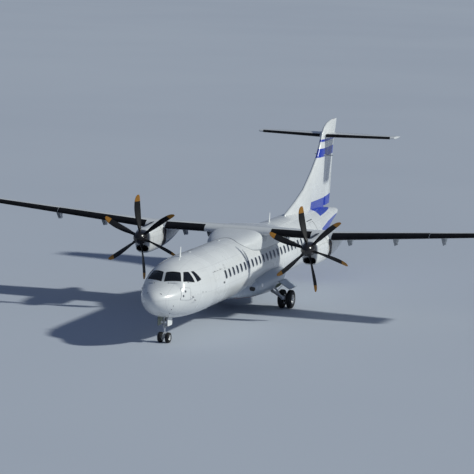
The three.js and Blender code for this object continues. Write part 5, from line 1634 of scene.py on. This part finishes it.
for port_or_not, side_sign in SIDES:
    main_leg(port_or_not, side_sign)
    main_door(port_or_not, side_sign)
nose_leg()
nose_fork()
for port_or_not, side_sign in SIDES:
    wheel(f"nose_{port_or_not}", (side_sign * 0.175, *NOSE_AXLE), NOSE_WHEEL, side_sign, "nose_wheels", 6)
    nose_door(port_or_not, side_sign)
antennas()
nose_fittings()
belly_inlets()
lamps()
for engine in ("engine_port", "engine_starboard"):
    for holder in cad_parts[engine].material_slots:
        holder.material = M["burnt"]

FLOOR = [(-900, -300, 0), (900, -300, 0), (900, 900, 0), (-900, 900, 0)]
FLOOR_DARK, FLOOR_LIGHT = (0.49, 0.53, 0.60), (0.52, 0.56, 0.625)
SKY, SKY_STRENGTH = (0.46, 0.62, 0.98, 1.0), 0.21
SUN_WAY, SUN_STRENGTH, SUN_COLOUR = (-1.0, -0.2, -0.68), 2.75, (0.965, 0.99, 0.935)
SUN_WIDTH = math.radians(3)
# The camera fitted to the photo: azimuth from the nose, elevation and roll in degrees, its place, and the focal
# length and width of the photo in pixels
VIEW = (18.731, 8.123, 1.370)
VIEW_FROM = (36.915, -111.338, 19.791)
FOCAL, PHOTO_WIDTH, SENSOR = 2504.68, 474, 36


def link(name, data):
    obj = bpy.data.objects.new(name, data)
    bpy.context.scene.collection.objects.link(obj)
    return obj


def studio():
    ground = bpy.data.meshes.new("floor")
    ground.from_pydata(FLOOR, [], [(0, 1, 2, 3)])
    floor = link("floor", ground)
    t = Tree("floor_matt")
    cloud = t.ramp(t.noise(0.02, 3.0), 0.3, 0.7)
    floor.data.materials.append(t.finish(t.mix(cloud, FLOOR_DARK, FLOOR_LIGHT), 0.9))
    world = bpy.data.worlds.new("sky")
    world.use_nodes = True
    world.node_tree.nodes["Background"].inputs["Color"].default_value = SKY
    world.node_tree.nodes["Background"].inputs["Strength"].default_value = SKY_STRENGTH
    bpy.context.scene.world = world
    sun = bpy.data.lights.new("key", "SUN")
    sun.energy, sun.angle, sun.color = SUN_STRENGTH, SUN_WIDTH, SUN_COLOUR
    lamp = link("key", sun)
    lamp.rotation_mode = "QUATERNION"
    lamp.rotation_quaternion = Vector(SUN_WAY).to_track_quat("-Z", "Y")
    bpy.context.scene.view_settings.view_transform = "Standard"


def camera():
    az, el, roll = (math.radians(v) for v in VIEW)
    back = Vector((math.sin(az) * math.cos(el), -math.cos(az) * math.cos(el), math.sin(el)))
    right = Vector((0, 0, 1)).cross(back).normalized()
    up = back.cross(right)
    r = right * math.cos(roll) + up * math.sin(roll)
    u = up * math.cos(roll) - right * math.sin(roll)
    data = bpy.data.cameras.new("camera")
    data.sensor_width = SENSOR
    data.lens = FOCAL / PHOTO_WIDTH * SENSOR
    data.clip_start, data.clip_end = 1, 3000
    cam = link("camera", data)
    cam.matrix_world = Matrix((*((r[k], u[k], back[k], VIEW_FROM[k]) for k in range(3)), (0, 0, 0, 1)))
    bpy.context.scene.camera = cam


studio()
camera()
